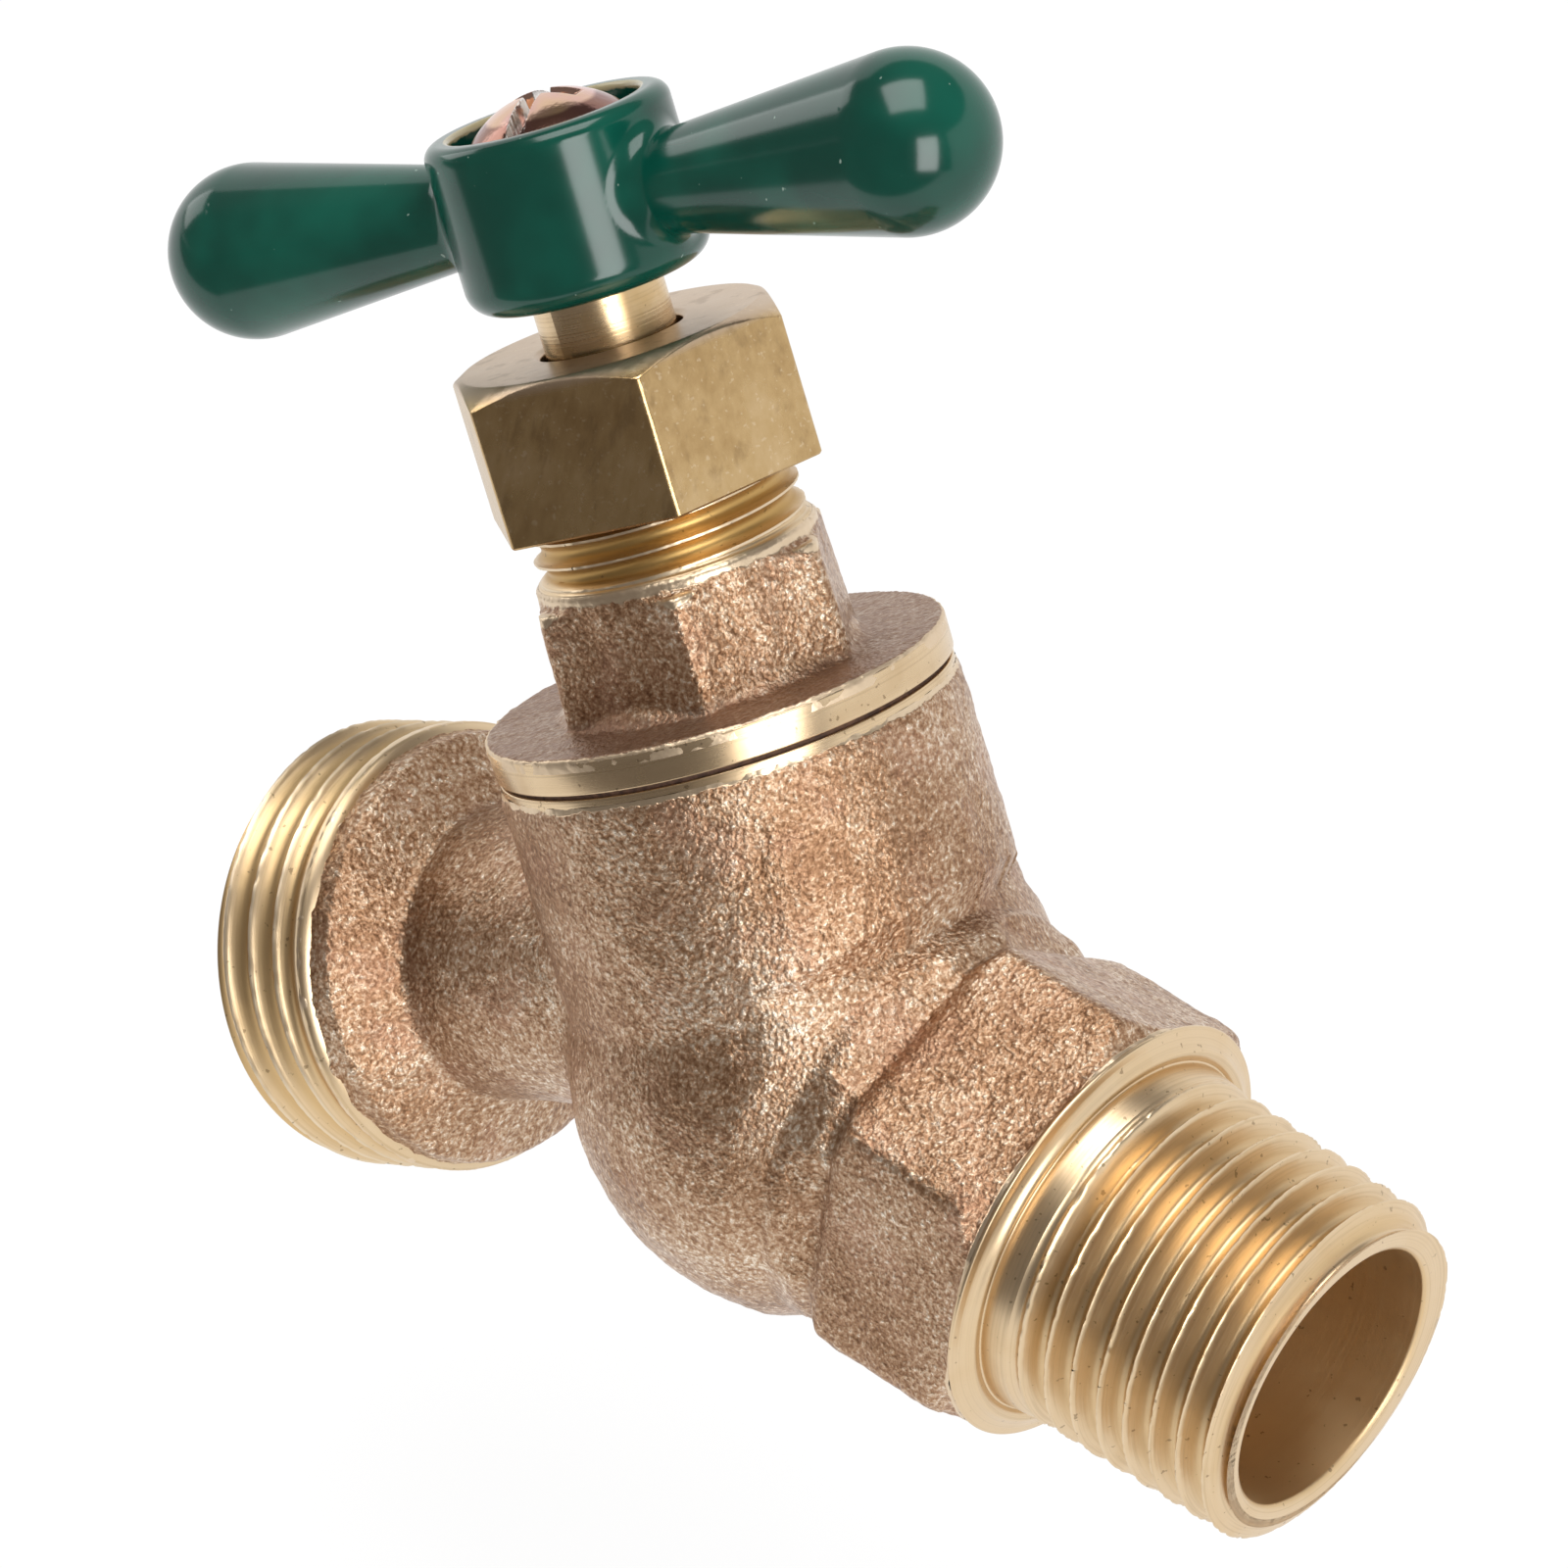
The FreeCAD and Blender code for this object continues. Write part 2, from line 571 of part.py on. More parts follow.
def make_packing_nut():
    """A hexagon nut with a chamfered top, a hole for the stem and a thread for the spigot."""
    body = new_body("packing_nut")
    set_on_stem(body)
    prism(body, "nut_hexagon", "PartDesign::Pad", hexagon(NUT_FLAT, "nut_angle"),
          "XY_Plane", "nut_height", lift=NUT_BOTTOM)
    corner = f"({NUT_FLAT} / cos(30) + loose_clearance)"
    chamfer = [
        (NUT_FLAT, NUT_TOP),
        (corner, f"{NUT_TOP} - ({corner} - {NUT_FLAT}) * tan(nut_chamfer_angle)"),
        (corner, NUT_TOP),
    ]
    bored(body, "nut_chamfer", chamfer)
    bore = [
        ("0", NUT_BOTTOM),
        ("spigot_radius + fit_clearance", NUT_BOTTOM),
        ("spigot_radius + fit_clearance", GLAND_TOP),
        ("stem_radius + nut_hole_gap", GLAND_TOP),
        ("stem_radius + nut_hole_gap", NUT_TOP),
        ("0", NUT_TOP),
    ]
    bored(body, "nut_bore", bore)
    return body


def make_packing_gland():
    """The follower: a sleeve in the stuffing box under a wider head that the nut presses."""
    body = new_body("packing_gland")
    set_on_stem(body)
    outline = [
        (PACKING_BORE, GLAND_BOTTOM),
        (PACKING_WALL, GLAND_BOTTOM),
        (PACKING_WALL, f"{GLAND_TOP} - gland_head_thickness"),
        (f"{BOX_RADIUS} + gland_head_step", f"{GLAND_TOP} - gland_head_thickness"),
        (f"{BOX_RADIUS} + gland_head_step", GLAND_TOP),
        (PACKING_BORE, GLAND_TOP),
    ]
    turned(body, "gland_sleeve", outline)
    return body


def make_stem():
    """The spindle: washer cup, neck, thread, plain shank and the square that drives it."""
    body = new_body("stem")
    set_on_stem(body)
    cup = "washer_radius + loose_clearance + stem_cup_wall"
    outline = [
        ("0", CUP_FLOOR),
        ("washer_radius + loose_clearance", CUP_FLOOR),
        ("washer_radius + loose_clearance", f"{CUP_FLOOR} - stem_cup_rim"),
        (cup, f"{CUP_FLOOR} - stem_cup_rim"),
        (cup, f"{CUP_FLOOR} + stem_cup_thickness"),
        ("stem_radius + stem_neck_step", f"{CUP_FLOOR} + stem_cup_thickness"),
        ("stem_radius + stem_neck_step", "stem_thread_bottom"),
        (STEM_THREAD_RADIUS, "stem_thread_bottom"),
        (STEM_THREAD_RADIUS, STEM_THREAD_TOP),
        ("stem_radius", STEM_THREAD_TOP),
        ("stem_radius", STEM_SHOULDER),
        ("0", STEM_SHOULDER),
    ]
    turned(body, "spindle", outline)
    prism(body, "square", "PartDesign::Pad", square(SQUARE_FLAT), "XY_Plane", f"{SQUARE_TOP} - {STEM_SHOULDER}",
          lift=STEM_SHOULDER, turn="handle_angle")
    tapped = [
        ("0", f"{SCREW_SEAT} - handle_screw_length - fit_clearance"),
        ("handle_screw_radius + fit_clearance", f"{SCREW_SEAT} - handle_screw_length - fit_clearance"),
        ("handle_screw_radius + fit_clearance", SQUARE_TOP),
        ("0", SQUARE_TOP),
    ]
    bored(body, "handle_screw_hole", tapped)
    foot = [
        ("0", CUP_FLOOR),
        ("washer_screw_radius + fit_clearance", CUP_FLOOR),
        ("washer_screw_radius + fit_clearance", f"{WASHER_SCREW_TIP} + fit_clearance"),
        ("0", f"{WASHER_SCREW_TIP} + fit_clearance"),
    ]
    bored(body, "washer_screw_hole", foot)
    return body


def make_washer_screw():
    """The screw through the rubber washer, its head just below the washer."""
    body = new_body("washer_screw")
    set_on_stem(body)
    outline = [
        ("0", "seat_top - washer_screw_head_height"),
        (f"{WASHER_SCREW_HEAD} - washer_screw_head_height / 2", "seat_top - washer_screw_head_height"),
        (WASHER_SCREW_HEAD, "seat_top - washer_screw_head_height / 2"),
        (WASHER_SCREW_HEAD, "seat_top"),
        ("washer_screw_radius", "seat_top"),
        ("washer_screw_radius", WASHER_SCREW_TIP),
        ("0", WASHER_SCREW_TIP),
    ]
    turned(body, "washer_screw_blank", outline)
    return body


def make_handle():
    """The tee: a hub with a square hole and a counterbore, and two arms that swell to round ends."""
    body = new_body("handle")
    set_on_stem(body, "handle_angle")
    hub = [("0", HUB_BOTTOM), ("hub_radius", HUB_BOTTOM), ("hub_radius", HUB_TOP), ("0", HUB_TOP)]
    turned(body, "hub", hub)
    arm = [
        ("0", "0"),
        (ARM_ROOT, "0"),
        (f"arm_end_radius * cos({ARM_TOUCH})", f"{ARM_BALL} + arm_end_radius * sin({ARM_TOUCH})", "arc"),
        ("0", "arm_reach"),
    ]
    turned(body, "arm", arm, up=ARM_HEIGHT, turn="(0 - 90)")
    turned(body, "other_arm", arm, up=ARM_HEIGHT, turn="(0 + 90)")
    up = FreeCAD.Vector(0, 0, 1)
    arm_cut = crosses_cylinder("hub_radius", FreeCAD.Vector(), up)
    softened(body, "arm_roots", "PartDesign::Fillet", "hub_height * arm_blend_ratio", arm_cut)
    top_rim = rim("hub_radius", HUB_TOP)
    softened(body, "hub_top_rim", "PartDesign::Fillet", "hub_height * hub_top_ratio", top_rim)
    bottom_rim = rim("hub_radius", HUB_BOTTOM)
    softened(body, "hub_bottom_rim", "PartDesign::Fillet", "hub_height * hub_bottom_ratio", bottom_rim)
    counterbore = [
        ("0", SCREW_SEAT),
        (COUNTERBORE_RADIUS, SCREW_SEAT),
        (COUNTERBORE_RADIUS, HUB_TOP),
        ("0", HUB_TOP),
    ]
    bored(body, "counterbore", counterbore)
    stem_hole = [
        ("0", HUB_BOTTOM),
        ("stem_radius + fit_clearance", HUB_BOTTOM),
        ("stem_radius + fit_clearance", f"{STEM_SHOULDER} + fit_clearance"),
        ("0", f"{STEM_SHOULDER} + fit_clearance"),
    ]
    bored(body, "stem_hole", stem_hole)
    before = body.Shape.Volume
    prism(body, "square_hole", "PartDesign::Pocket", square(f"({SQUARE_FLAT} + fit_clearance)"),
          "XY_Plane", f"{SCREW_SEAT} - {STEM_SHOULDER}", lift=SCREW_SEAT)
    if not body.Shape.Volume < before:
        raise RuntimeError("the square hole cut nothing")
    return body


def make_handle_screw():
    """The screw in the handle's counterbore, with a domed head."""
    body = new_body("handle_screw")
    set_on_stem(body)
    tip = f"{SCREW_SEAT} - handle_screw_length"
    outline = [
        ("0", tip),
        ("handle_screw_radius", tip),
        ("handle_screw_radius", SCREW_SEAT),
        (SCREW_HEAD_RADIUS, SCREW_SEAT),
        (SCREW_HEAD_RADIUS, f"{SCREW_SEAT} + handle_screw_head_edge", "arc"),
        ("0", f"{SCREW_SEAT} + handle_screw_head_height"),
    ]
    turned(body, "screw_blank", outline)
    return body


def export(pieces):
    """Check every object and every piece, then write one file for each piece."""
    for thing in doc.Objects:
        if "Invalid" in thing.State or "Error" in thing.State:
            raise RuntimeError(f"{thing.Label} failed: {thing.State}")
    os.makedirs("parts", exist_ok=True)
    for piece in pieces:
        shape = piece.Shape
        if shape.isNull() or not shape.isValid() or not shape.Solids:
            raise RuntimeError(f"{piece.Label} isn't a valid solid")
        shape.exportStep(f"parts/{piece.Label}.step")
        print(piece.Label, len(shape.Solids), "solid", round(shape.Volume, 1), "mm3")


export([
    make_valve_body(),
    make_bonnet(),
    tube("bonnet_gasket", f"{SHANK_RADIUS} + loose_clearance", GASKET_RADIUS, "body_top", FLANGE_BOTTOM),
    tube("packing_washer", PACKING_BORE, PACKING_WALL, PACKING_FLOOR, WASHER_BED),
    tube("packing", PACKING_BORE, PACKING_WALL, WASHER_BED, GLAND_BOTTOM),
    make_packing_gland(),
    make_packing_nut(),
    tube("seat_washer", WASHER_BORE, "washer_radius", "seat_top + fit_clearance", WASHER_TOP),
    make_stem(),
    make_washer_screw(),
    make_handle(),
    make_handle_screw(),
])
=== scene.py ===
# %% [markdown]
# # A hose bibb in bronze, brass and enamel
#
# The tap is a sand casting with threads cut on both of its ends, a bonnet and a packing nut that
# keep a leaning stem, and a tee handle under dark green enamel. The solids come from CAD with
# their sizes and joints. This lesson gives each of them the surface that its making leaves behind.
# Every piece is made in code, in metres, where the CAD says it is.

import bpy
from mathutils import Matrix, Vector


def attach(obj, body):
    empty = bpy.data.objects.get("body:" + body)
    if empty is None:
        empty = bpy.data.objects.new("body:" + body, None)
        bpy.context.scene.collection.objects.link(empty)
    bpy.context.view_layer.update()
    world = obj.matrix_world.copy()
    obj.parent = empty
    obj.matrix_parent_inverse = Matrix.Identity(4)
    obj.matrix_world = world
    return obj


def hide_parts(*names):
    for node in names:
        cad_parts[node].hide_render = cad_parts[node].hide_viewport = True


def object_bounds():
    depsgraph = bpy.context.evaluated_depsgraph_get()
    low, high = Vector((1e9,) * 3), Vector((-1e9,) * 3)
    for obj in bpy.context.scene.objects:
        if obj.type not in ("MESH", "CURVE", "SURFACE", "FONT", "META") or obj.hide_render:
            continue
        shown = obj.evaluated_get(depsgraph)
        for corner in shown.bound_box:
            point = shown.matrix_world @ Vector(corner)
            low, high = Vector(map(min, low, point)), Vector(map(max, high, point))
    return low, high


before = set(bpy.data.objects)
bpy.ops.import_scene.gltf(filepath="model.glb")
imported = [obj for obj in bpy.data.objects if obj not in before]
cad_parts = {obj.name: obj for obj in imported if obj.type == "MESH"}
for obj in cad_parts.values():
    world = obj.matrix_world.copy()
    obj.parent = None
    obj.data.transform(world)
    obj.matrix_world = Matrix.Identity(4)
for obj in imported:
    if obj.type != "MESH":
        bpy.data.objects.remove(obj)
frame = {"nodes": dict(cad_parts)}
cad_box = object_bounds()
print("nodes:", ", ".join(frame["nodes"]))

# %% [markdown]
# ## Tools of the trade
#
# Blender's own modules are enough: bpy holds the scene, bmesh edits points and faces, and mathutils
# has the vectors, matrices and noise. Blender counts in metres and a casting is drawn in
# millimetres, so MM turns the one into the other wherever a drawn size is used.

# %% Tools of the trade
import math

import bmesh
import bpy
from mathutils import Matrix, Quaternion, Vector, noise

MM = 0.001
TAU = 2 * math.pi


def clamped(value):
    """The value held between 0 and 1."""
    return min(1.0, max(0.0, value))


# %% [markdown]
# ## Three axes
#
# A plumber's casting is drawn round its axes. This one has three: the stem's, which leans forward,
# the outlet's, which crosses it, and the inlet's, which is level. A matrix for each axis lets every
# turned piece be written as plain pairs of radius and height in millimetres, and the matrix sets it
# in place. The numbers are those of the CAD.

# %% The three axes
def axis(y, z, lean):
    """A matrix whose Z runs along an axis in the plane X = 0, this far from upright."""
    return Matrix.Translation((0, y * MM, z * MM)) @ Matrix.Rotation(math.radians(lean), 4, "X")


STEM = axis(-39.987, 4.972, 31)
OUTLET = axis(-39.987, 4.972, 118)
INLET = axis(-37, 0, -90)
for label, matrix in (("stem", STEM), ("outlet", OUTLET), ("inlet", INLET)):
    print(label, "runs along", [round(part, 3) for part in matrix.col[2][:3]])

# %% [markdown]
# ## The camera
#
# The photograph was taken from behind the tap's right shoulder, 35 degrees above level, with a long
# lens that hardly narrows the far side. A camera is easiest to read as the point it looks at, the
# two angles it looks from, its distance and its roll.

# %% Set up the camera
AIM = Vector((-3.748, -45.931, 12.652)) * MM
AZIMUTH = math.radians(126.94)
ELEVATION = math.radians(35.0)
ROLL = math.radians(8.22)
DISTANCE = 0.39263

back = Vector((
    math.sin(AZIMUTH) * math.cos(ELEVATION),
    -math.cos(AZIMUTH) * math.cos(ELEVATION),
    math.sin(ELEVATION),
))
camera = bpy.data.objects.new("camera", bpy.data.cameras.new("camera"))
bpy.context.scene.collection.objects.link(camera)
bpy.context.scene.camera = camera
camera.data.lens = 157.5
camera.data.sensor_width = 36
camera.data.clip_start = 0.01
camera.data.clip_end = 20
camera.location = AIM + back * DISTANCE
camera.rotation_mode = "QUATERNION"
camera.rotation_quaternion = (-back).to_track_quat("-Z", "Y") @ Quaternion((0, 0, 1), ROLL)
print("camera at", [round(part, 4) for part in camera.location])

# %% [markdown]
# ## Light
#
# Metal looks like what stands round it, so the light matters as much as the finish. The streaks on
# the turned rims and the spots on the enamelled balls tell where the soft boxes hung: a wide one
# overhead, a tall narrow one on the right, and a weaker one on the left. Each is given by the
# direction that a streak mirrors, its distance, its size and how many times white it looks.

# %% Hang the lamps
LOOK_AT = Vector((0, -45, 10)) * MM


def soft_box(name, towards, distance, size, radiance):
    """An area lamp in a direction from the tap. Radiance is how many times white it looks."""
    data = bpy.data.lights.new(name, "AREA")
    data.shape = "RECTANGLE"
    data.size, data.size_y = size
    data.energy = radiance * math.pi * size[0] * size[1]
    lamp = bpy.data.objects.new(name, data)
    bpy.context.scene.collection.objects.link(lamp)
    way = Vector(towards).normalized()
    lamp.location = LOOK_AT + way * distance
    lamp.rotation_mode = "QUATERNION"
    lamp.rotation_quaternion = way.to_track_quat("Z", "Y")
    print(name, "at", [round(part, 2) for part in lamp.location], round(data.energy, 2), "W")


soft_box("high_box", (0.12, -0.10, 0.93), 0.6, (0.42, 0.42), 4.6)
soft_box("right_box", (0.40, 0.84, 0.33), 0.6, (0.26, 0.42), 6.8)
soft_box("left_box", (0.1, -0.97, 0.2), 0.7, (0.3, 0.3), 2.2)

# %% [markdown]
# ## Shader maths
#
# Node trees drawn by hand are hard to read back. Here one small class stands for a socket and
# answers to +, - and *, so that a mask can be written as 1 - groove * 0.6, and a second class owns
# the material. Anything that isn't arithmetic comes from its one method, node.

# %% A socket that does sums
class Wire:
    """One output of a node, which adds, subtracts and multiplies like a number."""

    def __init__(self, finish, socket):
        self.finish = finish
        self.socket = socket

    def sum(self, operation, first, second):
        return self.finish.node("ShaderNodeMath", {"operation": operation}, {0: first, 1: second})

    def __add__(self, other):
        return self.sum("ADD", self, other)

    __radd__ = __add__

    def __sub__(self, other):
        return self.sum("SUBTRACT", self, other)

    def __rsub__(self, other):
        return self.sum("SUBTRACT", other, self)

    def __mul__(self, other):
        return self.sum("MULTIPLY", self, other)

    __rmul__ = __mul__


class Finish:
    """A material with one main shader. Whole-surface values are set on the shader's own sockets."""

    def __init__(self, name, **plain):
        self.material = bpy.data.materials.new(name)
        self.material.use_nodes = True
        self.tree = self.material.node_tree
        self.shader = self.tree.nodes["Principled BSDF"]
        for socket, value in plain.items():
            self.shader.inputs[socket.replace("_", " ")].default_value = value
        print("finish", name, plain)

    def node(self, kind, settings, inputs, output=0):
        """A node of this type. Its settings are set first, then its sockets get values or wires."""
        made = self.tree.nodes.new(kind)
        for name, value in settings.items():
            if name == "stops":
                self.set_stops(made.color_ramp, value)
            else:
                setattr(made, name, value)
        for name, value in inputs.items():
            self.feed(made.inputs[name], value)
        return Wire(self, made.outputs[output])

    def set_stops(self, ramp, stops):
        while len(ramp.elements) < len(stops):
            ramp.elements.new(1)
        for element, (place, colour) in zip(ramp.elements, stops):
            element.position = place
            element.color = (*colour, 1)

    def feed(self, socket, value):
        if isinstance(value, Wire):
            self.tree.links.new(value.socket, socket)
        elif isinstance(value, tuple) and len(value) == 3 and socket.type == "RGBA":
            socket.default_value = (*value, 1)
        else:
            socket.default_value = value

    def paint(self, **inputs):
        """Feed the shader's sockets that may vary over the surface."""
        for name, value in inputs.items():
            self.feed(self.shader.inputs[name.replace("_", " ")], value)


# %% [markdown]
# The rest of the vocabulary is a few words made from that method: a place on the object, noise of
# a size in millimetres, a blend between two limits, a mix of colours and a bump. A word that is
# given a socket finds the material through it. Sizes in millimetres keep a finish tied to the real
# grain, whatever it is put on.

# %% Words for shaders
def vector_sum(finish, operation, inputs, output=0):
    """One step of vector maths. An answer that is one number comes from the output Value."""
    return finish.node("ShaderNodeVectorMath", {"operation": operation}, inputs, output=output)


def place(finish):
    """Where a point is on the object, in millimetres."""
    spot = finish.node("ShaderNodeTexCoord", {}, {}, output="Object")
    return vector_sum(finish, "SCALE", {0: spot, "Scale": 1 / MM})


def grain(finish, size, detail=2.0, at=None, shift=0.0, gritty=0.55):
    """Noise from 0 to 1 whose lumps are about this many millimetres across."""
    spot = vector_sum(finish, "ADD", {0: at or place(finish), 1: (shift, shift, shift)})
    sizes = {"Vector": spot, "Scale": 0.6 / size, "Detail": detail, "Roughness": gritty}
    return finish.node("ShaderNodeTexNoise", {}, sizes, output="Fac")


def rise(value, low, high):
    """0 below the low limit, 1 above the high one, and smooth between them."""
    limits = {"Value": value, "From Min": low, "From Max": high}
    settings = {"interpolation_type": "SMOOTHSTEP"}
    return value.finish.node("ShaderNodeMapRange", settings, limits)


def mix(share, first, second):
    """A colour between two, by a share from 0 to 1."""
    settings = {"data_type": "RGBA"}
    inputs = {0: share, 6: first, 7: second}
    return share.finish.node("ShaderNodeMix", settings, inputs, output=2)


def ramp(value, stops):
    """A colour read off a row of stops."""
    return value.finish.node("ShaderNodeValToRGB", {"stops": stops}, {"Fac": value}, "Color")


def bump(height, depth, under=None):
    """Small relief this many millimetres deep, on top of another bump where one is given."""
    inputs = {"Height": height, "Distance": depth * MM, "Strength": 1.0}
    if under:
        inputs["Normal"] = under
    return height.finish.node("ShaderNodeBump", {}, inputs, output="Normal")


def about(finish, matrix):
    """How far along an axis a point is, and how far out from it, in millimetres."""
    start = tuple(part / MM for part in matrix.translation)
    way = tuple(matrix.col[2][:3])
    arm = vector_sum(finish, "SUBTRACT", {0: place(finish), 1: start})
    along = vector_sum(finish, "DOT_PRODUCT", {0: arm, 1: way}, output="Value")
    across = vector_sum(finish, "CROSS_PRODUCT", {0: arm, 1: way})
    out = vector_sum(finish, "LENGTH", {0: across}, output="Value")
    return along, out


# %% [markdown]
# ## Cast bronze
#
# The body and the bonnet's hexagon come straight out of sand. Their skin is a fine sparkling grain,
# brown in its hollows and pale gold on its peaks, and that pale gold is partly the grain's colour
# and partly a painted glint. Round lumps and a gritty noise make the relief, and a ramp on the same
# two, with slow patches added, makes the colour. A mask of painted shade darkens and dulls it.
# Where a tool has touched the casting it is plain bright brass, and noise added to the height along
# an axis gives that border the ragged edge that a rough skin leaves.

# %% Cast bronze
GRAIN_DEPTH = 0.115
# The top stop paints a pale glint where the fine noise lifts the relief.
SAND_AND_GLINT_STOPS = [
    (0.24, (0.200, 0.098, 0.048)),
    (0.44, (0.385, 0.218, 0.120)),
    (0.58, (0.600, 0.420, 0.280)),
    (0.74, (0.930, 0.830, 0.690)),
]
# The second of these colours is the brown of a painted shade.
COPPER_PINK, FLANGE_SHADE_BROWN, CUT_BRONZE = (0.52, 0.29, 0.21), (0.25, 0.150, 0.105), (0.76, 0.60, 0.42)


def pebbles(finish, size):
    """Round lumps this many millimetres across, 1 on top and about 0 between them."""
    sizes = {"Vector": place(finish), "Scale": 1 / size, "Randomness": 1.0}
    return 1 - finish.node("ShaderNodeTexVoronoi", {}, sizes, output="Distance") * 1.5


def cast_bronze(name, tooled, painted_shade=None):
    """Sand-cast skin. Tooled masks what a tool has touched, and the last argument painted shade."""
    finish = Finish(name, IOR=1.45)
    sand = pebbles(finish, 0.26)
    fine = grain(finish, 0.2, detail=4, shift=7, gritty=0.7)
    patches = grain(finish, 4.5, detail=4, shift=31)
    relief = sand * 0.3 + fine * 0.8
    # The tone follows the fine noise of the relief, so its pale top is partly a painted glint on
    # the peaks.
    tone = (sand - 0.45) * 0.1 + (fine - 0.5) * 1.2 + (patches - 0.5) * 0.45 + 0.5
    pink = rise(grain(finish, 3.0, detail=3, shift=57), 0.5, 0.7)
    skin = mix(pink * 0.2, ramp(tone, SAND_AND_GLINT_STOPS), COPPER_PINK)
    rough = 0.36 - fine * 0.14
    if painted_shade:
        # Painted shade: the mask darkens and dulls the skin.
        dull = painted_shade(finish)
        skin = mix(dull * 0.6, skin, FLANGE_SHADE_BROWN)
        rough = rough + dull * 0.1
    bright = tooled(finish, grain(finish, 0.6, detail=3, shift=41) - 0.5)
    skin = mix(bright, skin, CUT_BRONZE)
    rough = rough + bright * 0.06
    bumps = bump(relief * (1 - bright * 0.8), GRAIN_DEPTH)
    finish.paint(Base_Color=skin, Roughness=rough, Metallic=bright * 0.1 + 0.9, Normal=bumps)
    return finish.material


# %% [markdown]
# ## Turned brass
#
# A lathe leaves fine rings round the axis. Noise read from the height and the radius alone is the
# same all the way round, which is just what a tool mark is. Thread roots get a painted shade, a
# warmer, deeper gold for the light that has bounced between two brass flanks, and crests get a
# painted highlight, a pale line for the light they catch. So each threaded piece passes two masks,
# one for the painted shade in its groove and one for the painted highlight on its crest.

# %% Turned brass
# The last of these three colours is the pale of a painted highlight on thread crests.
PALE_BRASS, GOLD_BRASS, CREST_HIGHLIGHT_BRASS = (0.75, 0.575, 0.37), (0.50, 0.33, 0.16), (0.86, 0.76, 0.60)
SPECK_BROWN = (0.12, 0.06, 0.02)
RING_DEPTH = 0.006


def turned_brass(name, matrix, marks=None, root=GOLD_BRASS, polish=0.2, stain=0.35):
    """Brass with tool rings about an axis. Marks makes the masks of groove and crest."""
    finish = Finish(name, Metallic=1.0)
    along, out = about(finish, matrix)
    lathe = finish.node("ShaderNodeCombineXYZ", {}, {"X": along, "Y": out})
    rings = grain(finish, 0.09, detail=1, at=lathe)
    bands = grain(finish, 0.5, at=lathe, shift=13)
    stains = grain(finish, 2.6, detail=4, shift=3)
    specks = rise(grain(finish, 0.3, shift=17), 0.68, 0.72)
    shade = tuple(part * 0.6 for part in root)
    tint = mix(rise(stains, 0.4, 0.75) * stain, PALE_BRASS, root)
    tint = mix(rise(bands, 0.4, 0.8) * 0.25, tint, root)
    tint = mix(rise(rings, 0.45, 0.7) * 0.25, tint, shade)
    rough = polish + rings * 0.12 + rise(stains, 0.45, 0.8) * 0.1
    if marks:
        groove, crest = marks(along, out)
        # Painted shade: the groove mask tints the roots a deeper gold. Painted highlight: the crest
        # mask paints the crests pale.
        tint = mix(groove, tint, root)
        tint = mix(crest, tint, CREST_HIGHLIGHT_BRASS)
        rough = rough + groove * 0.1 + crest * 0.1
    tint = mix(specks * 0.5, tint, SPECK_BROWN)
    finish.paint(Base_Color=tint, Roughness=rough, Normal=bump(rings, RING_DEPTH))
    return finish.material


# %% [markdown]
# ## Pieces from rows
#
# Lathe work is a list of rows, each a radius and a height, swept round an axis. A row may also be a
# function of the angle, which is all that a hexagon or a screw thread needs. The ring is closed by
# merging its last column with its first. Small easings at the corners catch the light as real
# edges do.

# %% Turn rows into a mesh
COLUMNS = 240
EVEN_ANGLES = [TAU * column / COLUMNS for column in range(COLUMNS + 1)]
CREASE = math.radians(35)
EASE_STEPS, EASE_SHARE = 4, 0.45


def lathe_mesh(name, matrix, rows, angles=EVEN_ANGLES):
    """A mesh swept about the axis. A row is (radius, height) or a function of the angle, in mm."""
    points = []
    for row in rows:
        for angle in angles:
            radius, height = row(angle) if callable(row) else row
            spot = Vector((radius * math.cos(angle), radius * math.sin(angle), height))
            points.append(matrix @ (spot * MM))
    wide = len(angles)
    faces = []
    for row in range(len(rows) - 1):
        for column in range(wide - 1):
            corner = row * wide + column
            faces.append((corner, corner + 1, corner + wide + 1, corner + wide))
    mesh = bpy.data.meshes.new(name)
    mesh.from_pydata(points, [], faces)
    tidy_mesh(mesh)
    return mesh


def tidy_mesh(mesh, weld=2e-7):
    """Weld the seams, face every side outwards, and shade smooth between the sharp edges."""
    work = bmesh.new()
    work.from_mesh(mesh)
    bmesh.ops.remove_doubles(work, verts=work.verts, dist=weld)
    bmesh.ops.recalc_face_normals(work, faces=work.faces)
    work.to_mesh(mesh)
    work.free()
    mesh.shade_smooth()
    mesh.set_sharp_from_angle(angle=CREASE)


def eased(outline, size):
    """The outline with the corners between its ends rounded by about this many millimetres."""
    made = [outline[0]]
    for before, corner, after in zip(outline, outline[1:], outline[2:]):
        corner = Vector(corner)
        back_way, on_way = Vector(before) - corner, Vector(after) - corner
        reach = min(size, back_way.length * EASE_SHARE, on_way.length * EASE_SHARE)
        start = corner + back_way.normalized() * reach
        end = corner + on_way.normalized() * reach
        for step in range(EASE_STEPS + 1):
            share = step / EASE_STEPS
            made.append(tuple(start.lerp(corner, share).lerp(corner.lerp(end, share), share)))
    made.append(outline[-1])
    return made


def add_piece(name, mesh, body, finish, slot, *stands_for):
    """Put a mesh in the scene on a body, with its finish, in place of CAD nodes."""
    piece = bpy.data.objects.new(name, mesh)
    bpy.context.scene.collection.objects.link(piece)
    mesh.materials.clear()
    mesh.materials.append(finish)
    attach(piece, body)
    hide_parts(*stands_for)
    print(name, "has", len(mesh.vertices), "points")


